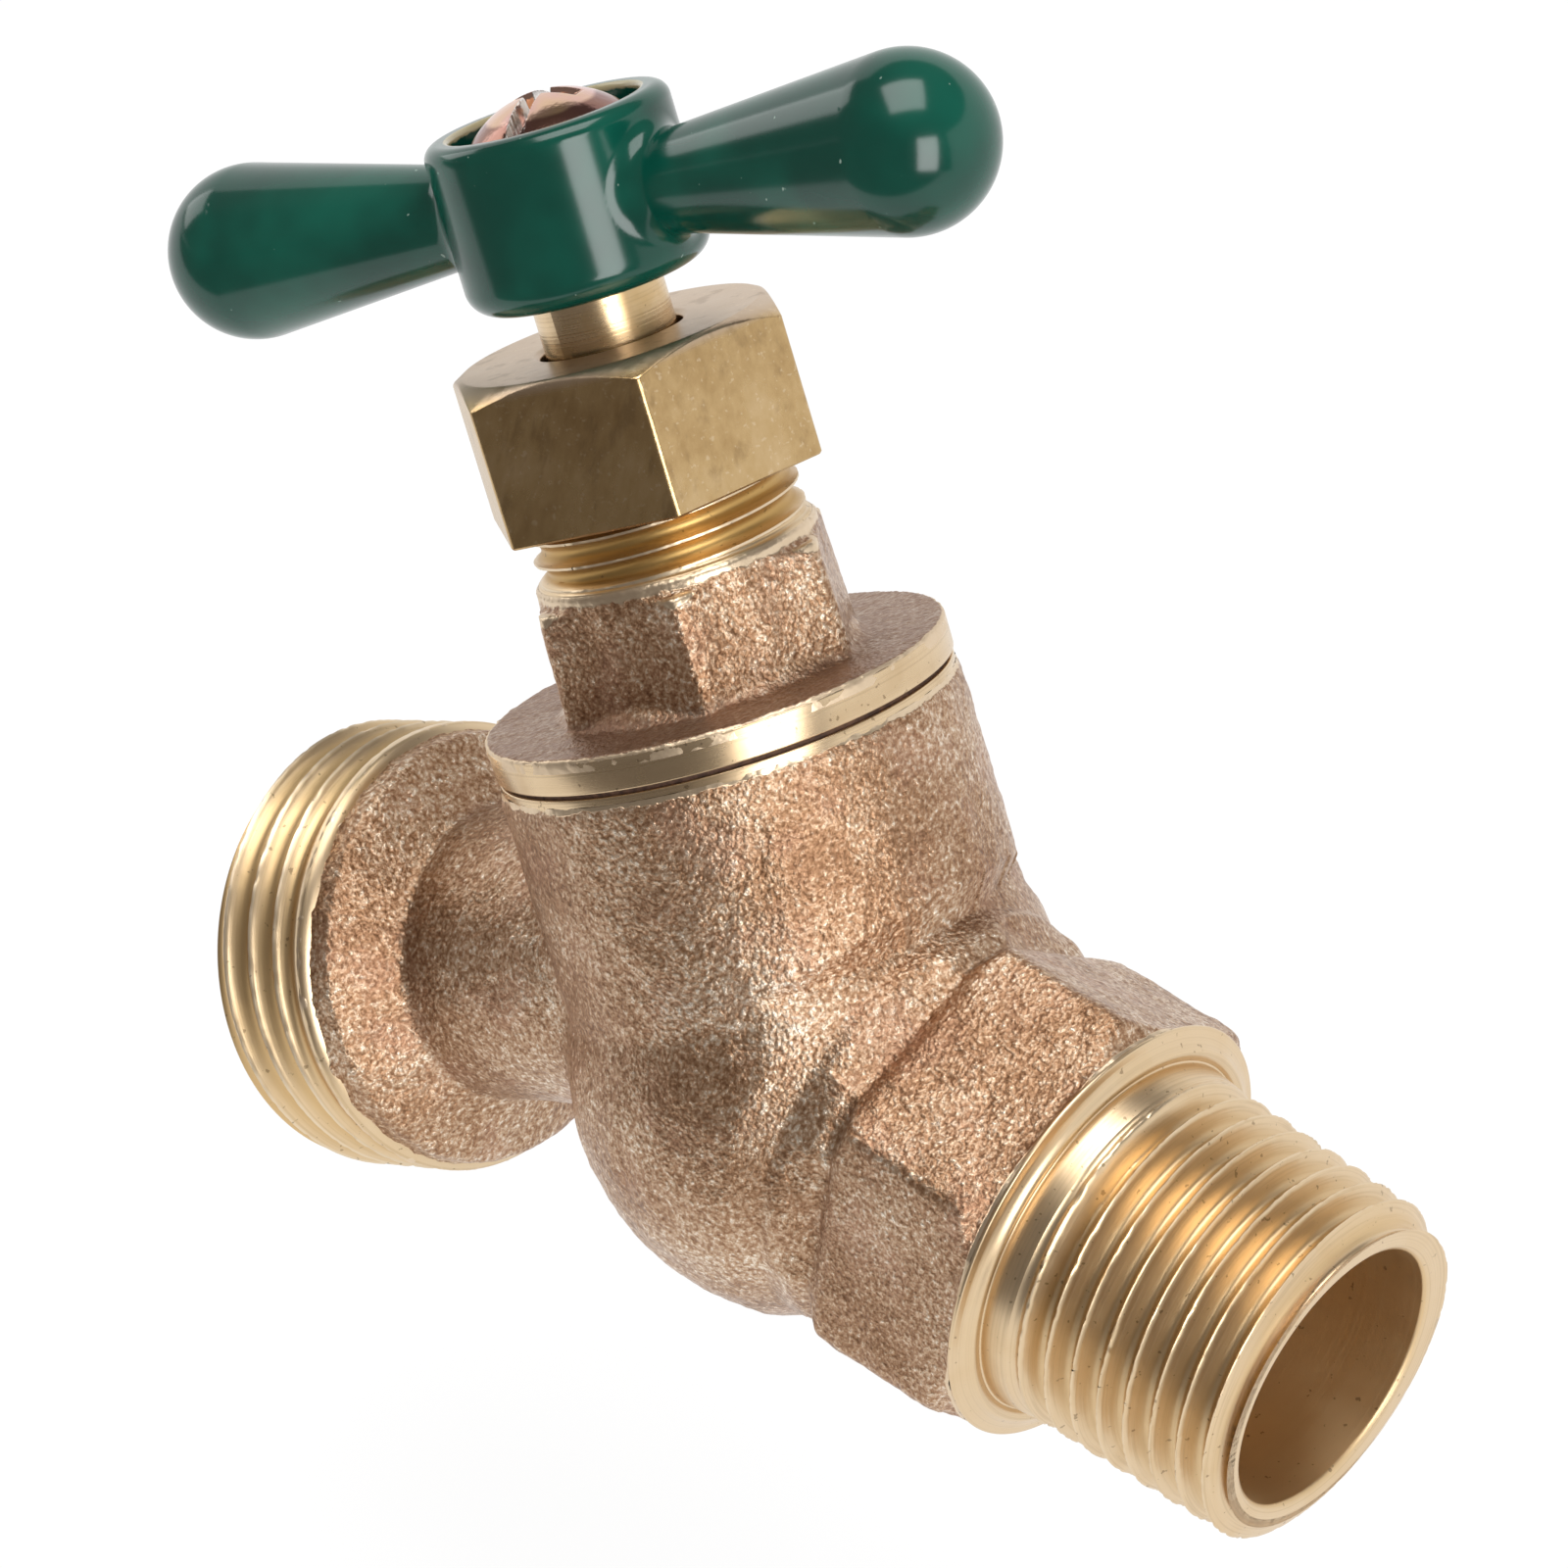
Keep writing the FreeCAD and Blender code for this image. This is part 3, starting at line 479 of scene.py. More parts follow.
def add_turned(name, matrix, rows, finish, node):
    """A turned part of a casting."""
    add_piece(name, lathe_mesh(name, matrix, rows), "tap", finish, "cast_bronze", node)


# %% [markdown]
# ## A screw thread
#
# A thread is a groove that climbs one pitch in each turn. If the rows of the mesh climb with it,
# the crest stays on the same rows and keeps its edges. The groove is a half wave made a little
# fuller, and a thin flat crest parts its turns. It reaches its full depth only once the tool has
# run in. Rows are held at the blank's two ends, so that the thread ends cleanly, and small nicks
# are left in the crests.

# %% Rows that wind
THREAD_STEPS = 20
NICKS_ROUND, NICKS_ALONG, NICK_FADE = 26, 3.0, 4


def thread_rows(
    start, end, pitch, depth, blank, first=None, run_in=0.8, wear=0.0, shape=0.8, flat=0.035,
):
    """Rows of a right-hand thread between two heights. Blank gives the crest's radius at a height.

    First is the height of the first crest at angle 0. Run_in and flat, which is half of a crest,
    are in pitches. Wear is how deep the nicks are, and a shape below 1 makes the groove fuller.
    """
    origin = start if first is None else first - pitch

    def radius_at(angle, height):
        phase = ((height - origin) / pitch - angle / TAU) % 1
        cut = math.sin(math.pi * clamped((phase - flat) / (1 - 2 * flat))) ** shape
        shown = min(1.0, (height - start) / (run_in * pitch))
        rough = noise.noise(Vector((angle * NICKS_ROUND, height * NICKS_ALONG, start)))
        nick = wear * max(0.0, rough) * (1 - cut) ** NICK_FADE
        return blank(height) - depth * cut * shown - nick

    rows = []
    for step in range(int((end - origin) / pitch * THREAD_STEPS) + THREAD_STEPS + 2):
        def row(angle, step=step):
            height = origin + (step / THREAD_STEPS - 1 + angle / TAU) * pitch
            height = min(max(height, start), end)
            return radius_at(angle, height), height
        rows.append(row)
    return rows


# %% [markdown]
# ## Castings from the solids
#
# The body's form is already right in the CAD, but it is too crisp for something that was poured.
# Rebuilding a copy from even little faces and then relaxing them rounds every edge and fills every
# inner corner, as a foundry pattern does. A light displacement then makes the skin lumpy, and a
# limit on the radius about an axis can file the copy down. All the normals are read before the
# first point moves, because Blender works them out anew after each move. The machined ends are cut
# off the copy and made apart.

# %% Rebuild a mesh as a casting
SLOW_LUMPS, QUICK_LUMPS, QUICK_SHARE = 0.55, 1.7, 0.6
SOLID_WELD = 2e-3


def shrink_to(point, matrix, limit):
    """The point moved to or from an axis, to the radius that limit gives for (radius, height)."""
    local = matrix.inverted() @ (point * MM) / MM
    radius = math.hypot(local.x, local.y)
    share = limit(radius, local.z) / max(radius, 1e-6)
    if share == 1:
        return point
    return matrix @ (Vector((local.x * share, local.y * share, local.z)) * MM) / MM


def poured(mesh, voxel, passes, lumps, cuts=(), filed=None, swell=0.0):
    """The mesh rebuilt and relaxed. Sizes are in millimetres, and filed is an axis and a limit.

    Each cut is an axis, a height and whether it takes away what is above it or what is below.
    """
    mesh.transform(Matrix.Scale(1 / MM, 4))
    tidy_mesh(mesh, weld=SOLID_WELD)
    scratch = bpy.data.objects.new("scratch", mesh)
    bpy.context.scene.collection.objects.link(scratch)
    even = scratch.modifiers.new("even", "REMESH")
    even.mode = "VOXEL"
    even.voxel_size = voxel
    relax = scratch.modifiers.new("relax", "SMOOTH")
    relax.factor = 0.5
    relax.iterations = passes
    seen = scratch.evaluated_get(bpy.context.evaluated_depsgraph_get())
    made = bpy.data.meshes.new_from_object(seen)
    bpy.data.objects.remove(scratch)
    normals = [vertex.normal.copy() for vertex in made.vertices]
    for vertex, normal in zip(made.vertices, normals):
        lump = lumps * noise.noise(vertex.co * SLOW_LUMPS)
        lump += lumps * QUICK_SHARE * noise.noise(vertex.co * QUICK_LUMPS)
        vertex.co = vertex.co + normal * (lump + swell)
        if filed:
            vertex.co = shrink_to(vertex.co, *filed)
    made.transform(Matrix.Scale(MM, 4))
    work = bmesh.new()
    work.from_mesh(made)
    for matrix, height, above in cuts:
        way = Vector(matrix.col[2][:3]) * (1 if above else -1)
        spot = matrix @ Vector((0, 0, height * MM))
        whole = work.verts[:] + work.edges[:] + work.faces[:]
        bmesh.ops.bisect_plane(
            work, geom=whole, dist=1e-7, plane_co=spot, plane_no=way, clear_outer=True,
        )
    work.to_mesh(made)
    work.free()
    made.shade_smooth()
    return made


# %% [markdown]
# The inlet's hexagon is a block with its rear corners turned down, and a shallow valley parts it
# from the globe. That is filed into the relaxed copy as a limit on the radius about the inlet's
# axis: a neck, a valley and a cone that opens towards the hexagon's corners.

# %% The cast body
BARREL_RADIUS = 15.6
NECK_RADIUS, NECK_END, NECK_SLOPE = 13.15, 6.5, 0.6
VALLEY, VALLEY_DEPTH, VALLEY_WIDTH = 9.5, 0.5, 0.7
VALLEY_INSIDE, VALLEY_OUTSIDE, VALLEY_FADE = 11.0, 15.4, 1.2
CORNER_END, CORNER_SLOPE = 11.1, 0.75


def hexagon_neck(radius, height):
    """The largest radius about the inlet's axis, except on the barrel, which stands further out."""
    if radius > BARREL_RADIUS or height < 0:
        return radius
    limit = radius
    if height < VALLEY:
        limit = min(limit, NECK_RADIUS + max(0.0, NECK_END - height) * NECK_SLOPE)
    elif height < CORNER_END:
        limit = min(limit, NECK_RADIUS + (height - VALLEY) * CORNER_SLOPE)
    valley = VALLEY_DEPTH * math.exp(-((height - VALLEY) / VALLEY_WIDTH) ** 2)
    fade = clamped((VALLEY_OUTSIDE - radius) / VALLEY_FADE) * clamped(radius - VALLEY_INSIDE)
    return limit - valley * fade


def body_tooled(finish, wobble):
    """Bright brass on the band under the bonnet, at the hose thread and on the hexagon's end."""
    along, out = about(finish, STEM)
    band = rise(along + wobble * 0.7, 14.55, 14.65) * rise(out, 12.6, 12.7)
    band = band * rise(14.5 - out, 0.0, 0.1)
    along, _ = about(finish, OUTLET)
    shoulder = rise(along + wobble * 1.2, 27.75, 27.9)
    along, _ = about(finish, INLET)
    end = rise(along + wobble * 0.15, 19.95, 20.05)
    return rise(band + shoulder + end, 0.0, 1.0)


cuts = [(OUTLET, 28.3, True), (INLET, 20.25, True), (STEM, 14.9, True)]
body_solid = frame["nodes"]["valve_body"].data.copy()
body_mesh = poured(
    body_solid, voxel=0.26, passes=6, lumps=0.1, cuts=cuts, filed=(INLET, hexagon_neck), swell=0.04,
)
BODY_BRONZE = cast_bronze("body_bronze", body_tooled)
add_piece("body_casting", body_mesh, "tap", BODY_BRONZE, "cast_bronze", "valve_body")

# %% [markdown]
# ## The body's machined ends
#
# After casting, the body is chucked three times: for the hose thread, for the pipe thread with its
# collar, and for the face under the bonnet. Each end is one lathe piece that starts inside the
# casting, so no gap can open between the two.

# %% The hose thread
HOSE_PITCH, HOSE_DEPTH, HOSE_RADIUS = 2.209, 0.8, 13.48
HOSE_START, HOSE_END = 28.15, 36.3
# The root colour is a painted shade for the thread's roots.
HOSE_ROOT = (0.68, 0.47, 0.23)


def hose_marks(along, out):
    """Masks of painted shade in the hose thread's groove and painted highlight on its crest."""
    threaded = rise(along, 28.3, 28.8)
    groove = rise(13.4 - out, 0.0, 0.7) * threaded * 0.95
    crest = rise(out, 13.34, 13.42) * threaded * 0.4
    return groove, crest


shoulder = [(9.5, 27.5), (12.7, 27.5), (13.3, 27.9), (13.45, 28.1)]
mouth = eased([
    (12.2, HOSE_END), (9.2, HOSE_END), (8.97, 36.1), (8.97, 26.5), (6.4, 26.45), (6.4, 20.0),
], 0.15)
ribs = thread_rows(
    HOSE_START, HOSE_END, HOSE_PITCH, HOSE_DEPTH, lambda height: HOSE_RADIUS, wear=0.12,
)
HOSE_BRASS = turned_brass("hose_thread_brass", OUTLET, hose_marks, HOSE_ROOT, polish=0.27)
add_turned("hose_thread", OUTLET, shoulder + ribs + mouth, HOSE_BRASS, "valve_body")

# %% [markdown]
# The inlet's thread is tapered, so that it jams tight in its fitting: it loses a sixteenth of its
# length in width. Behind it the tool has left a collar, a bead and a plain neck, and the first
# turns of the thread come out of that neck only slowly. All of it is one list of rows, from the
# collar over the thread and round the mouth into the bore.

# %% The pipe thread and its collar
PIPE_PITCH, PIPE_DEPTH, PIPE_RADIUS, PIPE_TAPER = 1.814, 1.2, 10.36, 1 / 32
PIPE_START, PIPE_FIRST, PIPE_BEVEL, PIPE_END = 22.5, 23.35, 36.4, 37.0
# The root colour is a painted shade for the thread's roots and the bore.
PIPE_ROOT = (0.70, 0.50, 0.27)


def pipe_blank(height):
    """The crest's radius, which tapers slowly and is bevelled at the mouth."""
    taper = PIPE_RADIUS + PIPE_TAPER * (PIPE_END - height)
    return min(taper, taper - (height - PIPE_BEVEL) * 0.8)


def pipe_marks(along, out):
    """Painted shade for the pipe thread's groove and its bore, and painted highlight for its crest.
    """
    depth = PIPE_RADIUS + (PIPE_END - along) * PIPE_TAPER - out
    threaded = rise(along, 22.6, 23.0) * rise(36.6 - along, 0, 0.2)
    threaded = threaded * rise(out, 8.6, 8.9)
    groove = rise(depth, 0.1, 1.1) * threaded * 0.7
    crest = (1 - rise(depth, 0.04, 0.12)) * threaded * 0.3
    bore = rise(8.2 - out, 0.0, 0.1)
    return rise(groove + bore, 0.0, 1.0), rise(crest + bore * 0.2, 0.0, 1.0)


collar = eased([
    (9.0, 20.0), (12.7, 20.0), (13.02, 20.25), (13.0, 20.45), (12.5, 20.55), (12.1, 20.75),
    (11.85, 21.0), (11.6, 21.1), (11.3, 21.02), (11.12, 20.84), (10.98, 20.9), (10.95, 21.2),
    (10.87, 22.2), (10.82, 22.5),
], 0.12)
cup = eased([
    (9.3, PIPE_END), (8.3, PIPE_END), (8.0, 36.75), (8.0, 24.35), (5.95, 24.3), (5.95, 15.5),
], 0.12)
ribs = thread_rows(
    PIPE_START, PIPE_END, PIPE_PITCH, PIPE_DEPTH, pipe_blank, PIPE_FIRST, wear=0.14, shape=0.85,
)
PIPE_BRASS = turned_brass("pipe_thread_brass", INLET, pipe_marks, PIPE_ROOT, polish=0.26)
add_turned("pipe_thread", INLET, collar + ribs + cup, PIPE_BRASS, "valve_body")

# %% [markdown]
# The bonnet's flange needs a flat seat. The cut that makes it also skims the top of the barrel,
# and leaves a narrow bright band with a ragged lower edge. A thin fibre ring shows as a dark line.

# %% The face under the bonnet
RIM_BRASS = turned_brass("rim_brass", STEM)
rim = eased([(12.4, 14.6), (13.38, 14.6), (13.38, 15.35), (10.7, 15.35), (10.62, 8.0)], 0.08)
add_turned("body_rim", STEM, rim, RIM_BRASS, "valve_body")

# %% [markdown]
# ## The bonnet
#
# Only the hexagon and the top of the flange are as cast. A tool has turned the flange's edge, the
# threaded spigot that the nut screws down, and a cone on the hexagon's top corners. The cone is a
# limit on the radius again, and the same cone tells the finish where to be bright. The limit also
# opens the bore a little, clear of the stem.

# %% The bonnet's casting and its flange
HEXAGON_FOOT, CONE_TOP, CONE_TOP_RADIUS, CONE_SLOPE = 20.0, 25.45, 8.0, 1.15
BORE_LIMIT, BORE_ROOM = 7.0, 0.3


def bonnet_cone(radius, height):
    """The largest radius on the hexagon, and a wider one in the bore."""
    if radius < BORE_LIMIT:
        return radius + BORE_ROOM
    if height < HEXAGON_FOOT:
        return radius
    return min(radius, CONE_TOP_RADIUS + max(0.0, (CONE_TOP - height)) * CONE_SLOPE)


def bonnet_tooled(finish, wobble):
    """Bright brass on the cone that tops the hexagon and at the flange's edge."""
    along, out = about(finish, STEM)
    depth = (CONE_TOP - along) * CONE_SLOPE + CONE_TOP_RADIUS - out
    cone = rise(0.6 - depth + wobble * 0.8, 0.0, 0.25)
    cone = cone * rise(along, HEXAGON_FOOT, 20.1)
    top = rise(along + wobble * 0.5, 25.0, 25.1)
    edge = rise(out + wobble * 0.12, 13.3, 13.42)
    return rise(cone + top + edge, 0.0, 1.0)


def bonnet_painted_shade(finish):
    """Painted shade, dark and dull, on top of the flange under the hexagon."""
    along, _ = about(finish, STEM)
    return rise(18.6 - along, 0.0, 0.8)


cuts = [(STEM, 17.0, False), (STEM, 25.42, True)]
bonnet_solid = frame["nodes"]["bonnet"].data.copy()
bonnet_mesh = poured(
    bonnet_solid, voxel=0.2, passes=4, lumps=0.07, cuts=cuts, filed=(STEM, bonnet_cone), swell=0.02,
)
BONNET_BRONZE = cast_bronze("bonnet_bronze", bonnet_tooled, bonnet_painted_shade)
add_piece("bonnet_casting", bonnet_mesh, "tap", BONNET_BRONZE, "cast_bronze", "bonnet")
flange = eased([(10.5, 8.3), (10.5, 15.65), (13.5, 15.65), (13.52, 17.55), (12.9, 17.68)], 0.1)
add_turned("bonnet_flange", STEM, flange, RIM_BRASS, "bonnet")

# %% [markdown]
# The spigot is the hollow neck that holds the packing. Its thread is fine and deep in the root,
# and the root is painted almost orange, a painted shade for light that reaches it only from one
# golden flank to the other. A narrow plain band is left where the tool started.

# %% The threaded spigot
SPIGOT_PITCH, SPIGOT_DEPTH, SPIGOT_RADIUS = 1.411, 0.62, 7.85
SPIGOT_START, SPIGOT_BEVEL, SPIGOT_END = 25.6, 34.2, 34.75
# The root colour is a painted shade for the thread's roots.
SPIGOT_ROOT = (0.54, 0.34, 0.12)


def spigot_marks(along, out):
    """Masks of painted shade in the spigot thread's groove and painted highlight on its crest."""
    groove = rise(7.8 - out, 0.0, 0.5)
    crest = rise(out, 7.76, 7.81) * rise(7.9 - out, 0.0, 0.02) * 0.35
    return groove, crest


def spigot_blank(height):
    """The crest's radius, bevelled at the top."""
    return min(SPIGOT_RADIUS, SPIGOT_RADIUS - (height - SPIGOT_BEVEL))


band = eased([(6.5, 24.8), (8.05, 24.8), (8.05, 25.43), (7.9, 25.58)], 0.1)
ribs = thread_rows(
    SPIGOT_START, SPIGOT_END, SPIGOT_PITCH, SPIGOT_DEPTH, spigot_blank,
    run_in=0.3, wear=0.08, shape=0.6, flat=0.05,
)
bore = eased([
    (6.9, SPIGOT_END), (5.6, SPIGOT_END), (5.6, 25.9), (3.9, 25.9), (3.9, 21.3),
], 0.1)
SPIGOT_BRASS = turned_brass("spigot_brass", STEM, spigot_marks, SPIGOT_ROOT, polish=0.26)
add_turned("bonnet_spigot", STEM, band + ribs + bore, SPIGOT_BRASS, "bonnet")

# %% [markdown]
# ## The packing nut
#
# A nut is sawn off hexagon bar and its top corners are turned off at 30 degrees, which leaves an
# arc on each face. Read from the axis, the bar is a radius that depends on the angle, and the
# turned cone says how high each angle reaches, so a row can follow the arc exactly.

# %% The packing nut
NUT_FLAT, NUT_CORNER, NUT_TURN = 9.035, 0.45, 51.8
NUT_BOTTOM, NUT_TOP = 29.0, 38.05
CONE_START, CONE_FALL = 0.28, math.tan(math.radians(30))
NUT_STOPS = [
    (0.3, (0.430, 0.275, 0.120)),
    (0.5, (0.560, 0.385, 0.185)),
    (0.7, (0.650, 0.470, 0.260)),
]
NUT_FACE, SCUFF_BROWN, FLECK_GOLD = (0.60, 0.46, 0.33), (0.30, 0.19, 0.09), (0.78, 0.62, 0.42)


def nut_reach(angle):
    """How far out the hexagon is at an angle. Its corners are rounded, and one lies at NUT_TURN."""
    off = (angle - math.radians(NUT_TURN)) % (TAU / 6)
    off = min(off, TAU / 6 - off)
    centre = (NUT_FLAT - NUT_CORNER) / math.cos(TAU / 12)
    side = math.atan2(centre * math.sin(TAU / 12), NUT_FLAT)
    if TAU / 12 - off < side:
        return NUT_FLAT / math.cos(TAU / 12 - off)
    across = centre * math.sin(off)
    return centre * math.cos(off) + math.sqrt(max(0.0, NUT_CORNER ** 2 - across ** 2))


def corner_angles(turn):
    """Angles for the columns of a hexagon, close together at its corners."""
    steps = [0, 0.5, 1, 1.6, 2.3, 3.2, 4.5, 6, 8, 10.5, 13.5, 17, 21, 25.5]
    offsets = steps + [30] + [60 - step for step in reversed(steps[1:])]
    turns = [turn + 60 * side + offset for side in range(6) for offset in offsets]
    return [math.radians(angle) for angle in turns + [turn + 360]]


def nut_row(inset, height):
    """A level row round the hexagon."""
    return lambda angle: (nut_reach(angle) - inset, height)


def nut_arc(inset, drop):
    """A row where the turned cone meets the hexagon, moved in and down by a little."""
    def row(angle):
        reach = nut_reach(angle)
        return reach - inset, NUT_TOP - (reach - NUT_FLAT + CONE_START) * CONE_FALL - drop
    return row


rows = [(7.9, 36.3), (7.9, 29.5), (8.2, NUT_BOTTOM)]
rows += [nut_row(0.3, NUT_BOTTOM), nut_row(0.1, 29.03), nut_row(0.0, 29.15)]
rows += [nut_arc(0, 0.1), nut_arc(0.02, 0.02), nut_arc(0.12, -0.07)]
rows += eased([(8.75, 38.04), (8.5, NUT_TOP), (4.5, NUT_TOP), (4.15, 37.85), (4.15, 36.35)], 0.12)


def nut_brass():
    """Sawn and tumbled bar: yellow brown, dull, with faint marks along the faces."""
    finish = Finish("nut_brass", Metallic=1.0)
    along, _ = about(finish, STEM)
    drawn = vector_sum(finish, "MULTIPLY", {0: place(finish), 1: (1, 1, 0.3)})
    streaks = grain(finish, 0.35, detail=3, at=drawn)
    patches = grain(finish, 3.0, detail=4, shift=9)
    top = rise(along, 37.2, 37.9)
    side = ramp(streaks * 0.35 + patches * 0.65, NUT_STOPS)
    tint = mix(top * 0.9, side, NUT_FACE)
    scuffs = rise(grain(finish, 0.8, detail=5, at=drawn, shift=5), 0.54, 0.68)
    flecks = rise(grain(finish, 0.22, shift=27), 0.62, 0.7)
    tint = mix(scuffs * 0.45, tint, SCUFF_BROWN)
    tint = mix(flecks * 0.4, tint, FLECK_GOLD)
    rough = 0.2 + patches * 0.14 + top * 0.08
    swells = bump(grain(finish, 2.4, shift=33), 0.05)
    finish.paint(Base_Color=tint, Roughness=rough, Normal=bump(streaks, 0.02, swells))
    return finish.material


nut_mesh = lathe_mesh("packing_nut", STEM, rows, angles=corner_angles(NUT_TURN))
add_piece("packing_nut_dressed", nut_mesh, "tap", nut_brass(), "turned_brass", "packing_nut")

# %% [markdown]
# ## Green enamel
#
# The handle is dipped in enamel. A clear coat over a dark green base gives its wet gloss, and the
# coat alone mirrors, because the paint under it has no shine of its own. Slow waves shade the paint
# a little, dust makes a few pale pits, and a tan line shows where the enamel has pulled thin off
# the counterbore's edge.

# %% Green enamel
DEEP_GREEN, LIGHT_GREEN = (0.001, 0.036, 0.024), (0.002, 0.072, 0.047)
DUST_PALE, THIN_TAN = (0.30, 0.40, 0.34), (0.42, 0.35, 0.20)
CLEAR_COAT = {"Coat_Weight": 1.0, "Coat_Roughness": 0.16, "Coat_IOR": 1.48}


def green_enamel():
    """A green paint without shine under a clear coat."""
    finish = Finish("green_enamel", Specular_IOR_Level=0.0, **CLEAR_COAT)
    clouds = grain(finish, 4.0, shift=2)
    peel = grain(finish, 2.4, shift=11)
    pits = rise(grain(finish, 0.35, detail=1, shift=19), 0.77, 0.8)
    tint = mix(rise(clouds, 0.3, 0.75), DEEP_GREEN, LIGHT_GREEN)
    tint = mix(pits * 0.6, tint, DUST_PALE)
    along, out = about(finish, STEM)
    worn = rise(along + grain(finish, 0.5, shift=23) * 0.3, 50.75, 50.9)
    worn = worn * rise(5.84 - out, 0.0, 0.12)
    tint = mix(worn * 0.85, tint, THIN_TAN)
    finish.paint(Base_Color=tint, Roughness=0.4 + clouds * 0.1, Normal=bump(peel, 0.05))
    return finish.material


# %% [markdown]
# ## The tee handle
#
# Enamel runs round every edge and stands in the inner corners, and its gloss shows every facet. So
# this form is written as a distance: how far a point is outside the hub, outside the arms, or
# outside both with a fillet between them. A rough blank of the three shapes is rebuilt from even
# little faces, and every point is then moved to where the distance is nothing. The slope of the
# distance there is the true normal, so reflections run smoothly over the whole handle.

# %% The tee handle
HUB_RADIUS, HUB_BORE, HUB_BOTTOM, HUB_TOP = 7.1, 4.1, 41.05, 51.05
BOTTOM_EDGE, TOP_EDGE, LIP_EDGE, ARM_FILLET = 1.6, 0.9, 0.3, 1.3
COUNTERBORE, COUNTERBORE_FLOOR = 5.5, 49.25
ARM_HEIGHT, ARM_ROOT, ARM_BALL, ARM_END = 46.05, 1.8, 24.0, 5.1
ARM_TURN = math.radians(97)
ARM_SLOPE = math.radians(7.947)
ROUNDS, PROBE, GENTLEST = 4, 0.01, 0.2


def hub_distance(out, height):
    """How far a point is outside the hub, a drum with two rounded edges."""
    middle, half = (HUB_TOP + HUB_BOTTOM) / 2, (HUB_TOP - HUB_BOTTOM) / 2
    edge = TOP_EDGE if height > middle else BOTTOM_EDGE
    across = out - HUB_RADIUS + edge
    up = abs(height - middle) - half + edge
    return math.hypot(max(across, 0.0), max(up, 0.0)) + min(max(across, up), 0.0) - edge


def arm_distance(x, y, height):
    """How far a point is outside the two arms, which are cones that end in balls."""
    reach = abs(x * math.cos(ARM_TURN) + y * math.sin(ARM_TURN))
    out = math.hypot(x * math.sin(ARM_TURN) - y * math.cos(ARM_TURN), height - ARM_HEIGHT)
    along = reach * math.cos(ARM_SLOPE) + (out - ARM_ROOT) * math.sin(ARM_SLOPE)
    if along > ARM_BALL * math.cos(ARM_SLOPE) - ARM_ROOT * math.sin(ARM_SLOPE):
        return math.hypot(reach - ARM_BALL, out) - ARM_END
    return (out - ARM_ROOT) * math.cos(ARM_SLOPE) - reach * math.sin(ARM_SLOPE)


def joined(first, second, fillet):
    """The distance to two shapes grown together, with a fillet between them."""
    inside = math.hypot(max(fillet - first, 0.0), max(fillet - second, 0.0))
    return max(fillet, min(first, second)) - inside


def handle_distance(x, y, height):
    """How far a point is outside the whole handle, less its counterbore and its bore."""
    out = math.hypot(x, y)
    whole = joined(hub_distance(out, height), arm_distance(x, y, height), ARM_FILLET)
    bored = -joined(-whole, max(out - COUNTERBORE, COUNTERBORE_FLOOR - height), LIP_EDGE)
    return max(bored, HUB_BORE - out)


def handle_blank():
    """The hub and both arms as one rough mesh of overlapping closed shapes."""
    hub = [
        (HUB_BORE, 45.0), (HUB_BORE, COUNTERBORE_FLOOR), (COUNTERBORE, COUNTERBORE_FLOOR),
        (COUNTERBORE, HUB_TOP), (HUB_RADIUS, HUB_TOP), (HUB_RADIUS, HUB_BOTTOM),
        (HUB_BORE, HUB_BOTTOM), (HUB_BORE, 45.0),
    ]
    arm = [(0.0, 5.0), (2.5, 5.0), (5.05, 23.3), (5.1, 24.0), (4.4, 26.6), (2.6, 28.4), (0.0, 29.1)]
    work = bmesh.new()
    work.from_mesh(lathe_mesh("hub", STEM, hub))
    for turn in (ARM_TURN, ARM_TURN + math.pi):
        outward = Matrix.Rotation(turn, 4, "Z") @ Matrix.Rotation(math.radians(90), 4, "Y")
        middle = Matrix.Translation((0, 0, ARM_HEIGHT * MM))
        work.from_mesh(lathe_mesh("arm", STEM @ middle @ outward, arm))
    blank = bpy.data.meshes.new("handle_blank")
    work.to_mesh(blank)
    work.free()
    return blank


def settle(mesh, matrix, distance):
    """Move every point to where the distance is nothing, and take the normals from its slope."""
    to_local = matrix.inverted()
    normals = []
    for vertex in mesh.vertices:
        x, y, z = to_local @ vertex.co / MM
        for _ in range(ROUNDS):
            here = distance(x, y, z)
            near = distance(x + PROBE, y, z), distance(x, y + PROBE, z), distance(x, y, z + PROBE)
            slope = (Vector(near) - Vector((here, here, here))) / PROBE
            step = here / max(slope.length_squared, GENTLEST)
            x, y, z = x - slope.x * step, y - slope.y * step, z - slope.z * step
        vertex.co = matrix @ (Vector((x, y, z)) * MM)
        normals.append((matrix.to_3x3() @ slope).normalized())
    mesh.normals_split_custom_set_from_vertices(normals)


handle_mesh = poured(handle_blank(), 0.2, 8, 0.0)
settle(handle_mesh, STEM, handle_distance)
add_piece("handle_enamelled", handle_mesh, "spindle", green_enamel(), "green_enamel", "handle")

# %% [markdown]
# ## The handle's screw
#
# The screw has a low dome with a slot and a cross sunk in it, plated in yellow zinc that shimmers
# from gold to pink. A disc of rings is lifted into the dome, and both recesses are pressed into it
# as soft troughs. A painted shade makes the dome's flank brown, and the plating is worn to bare
# steel along the slot.

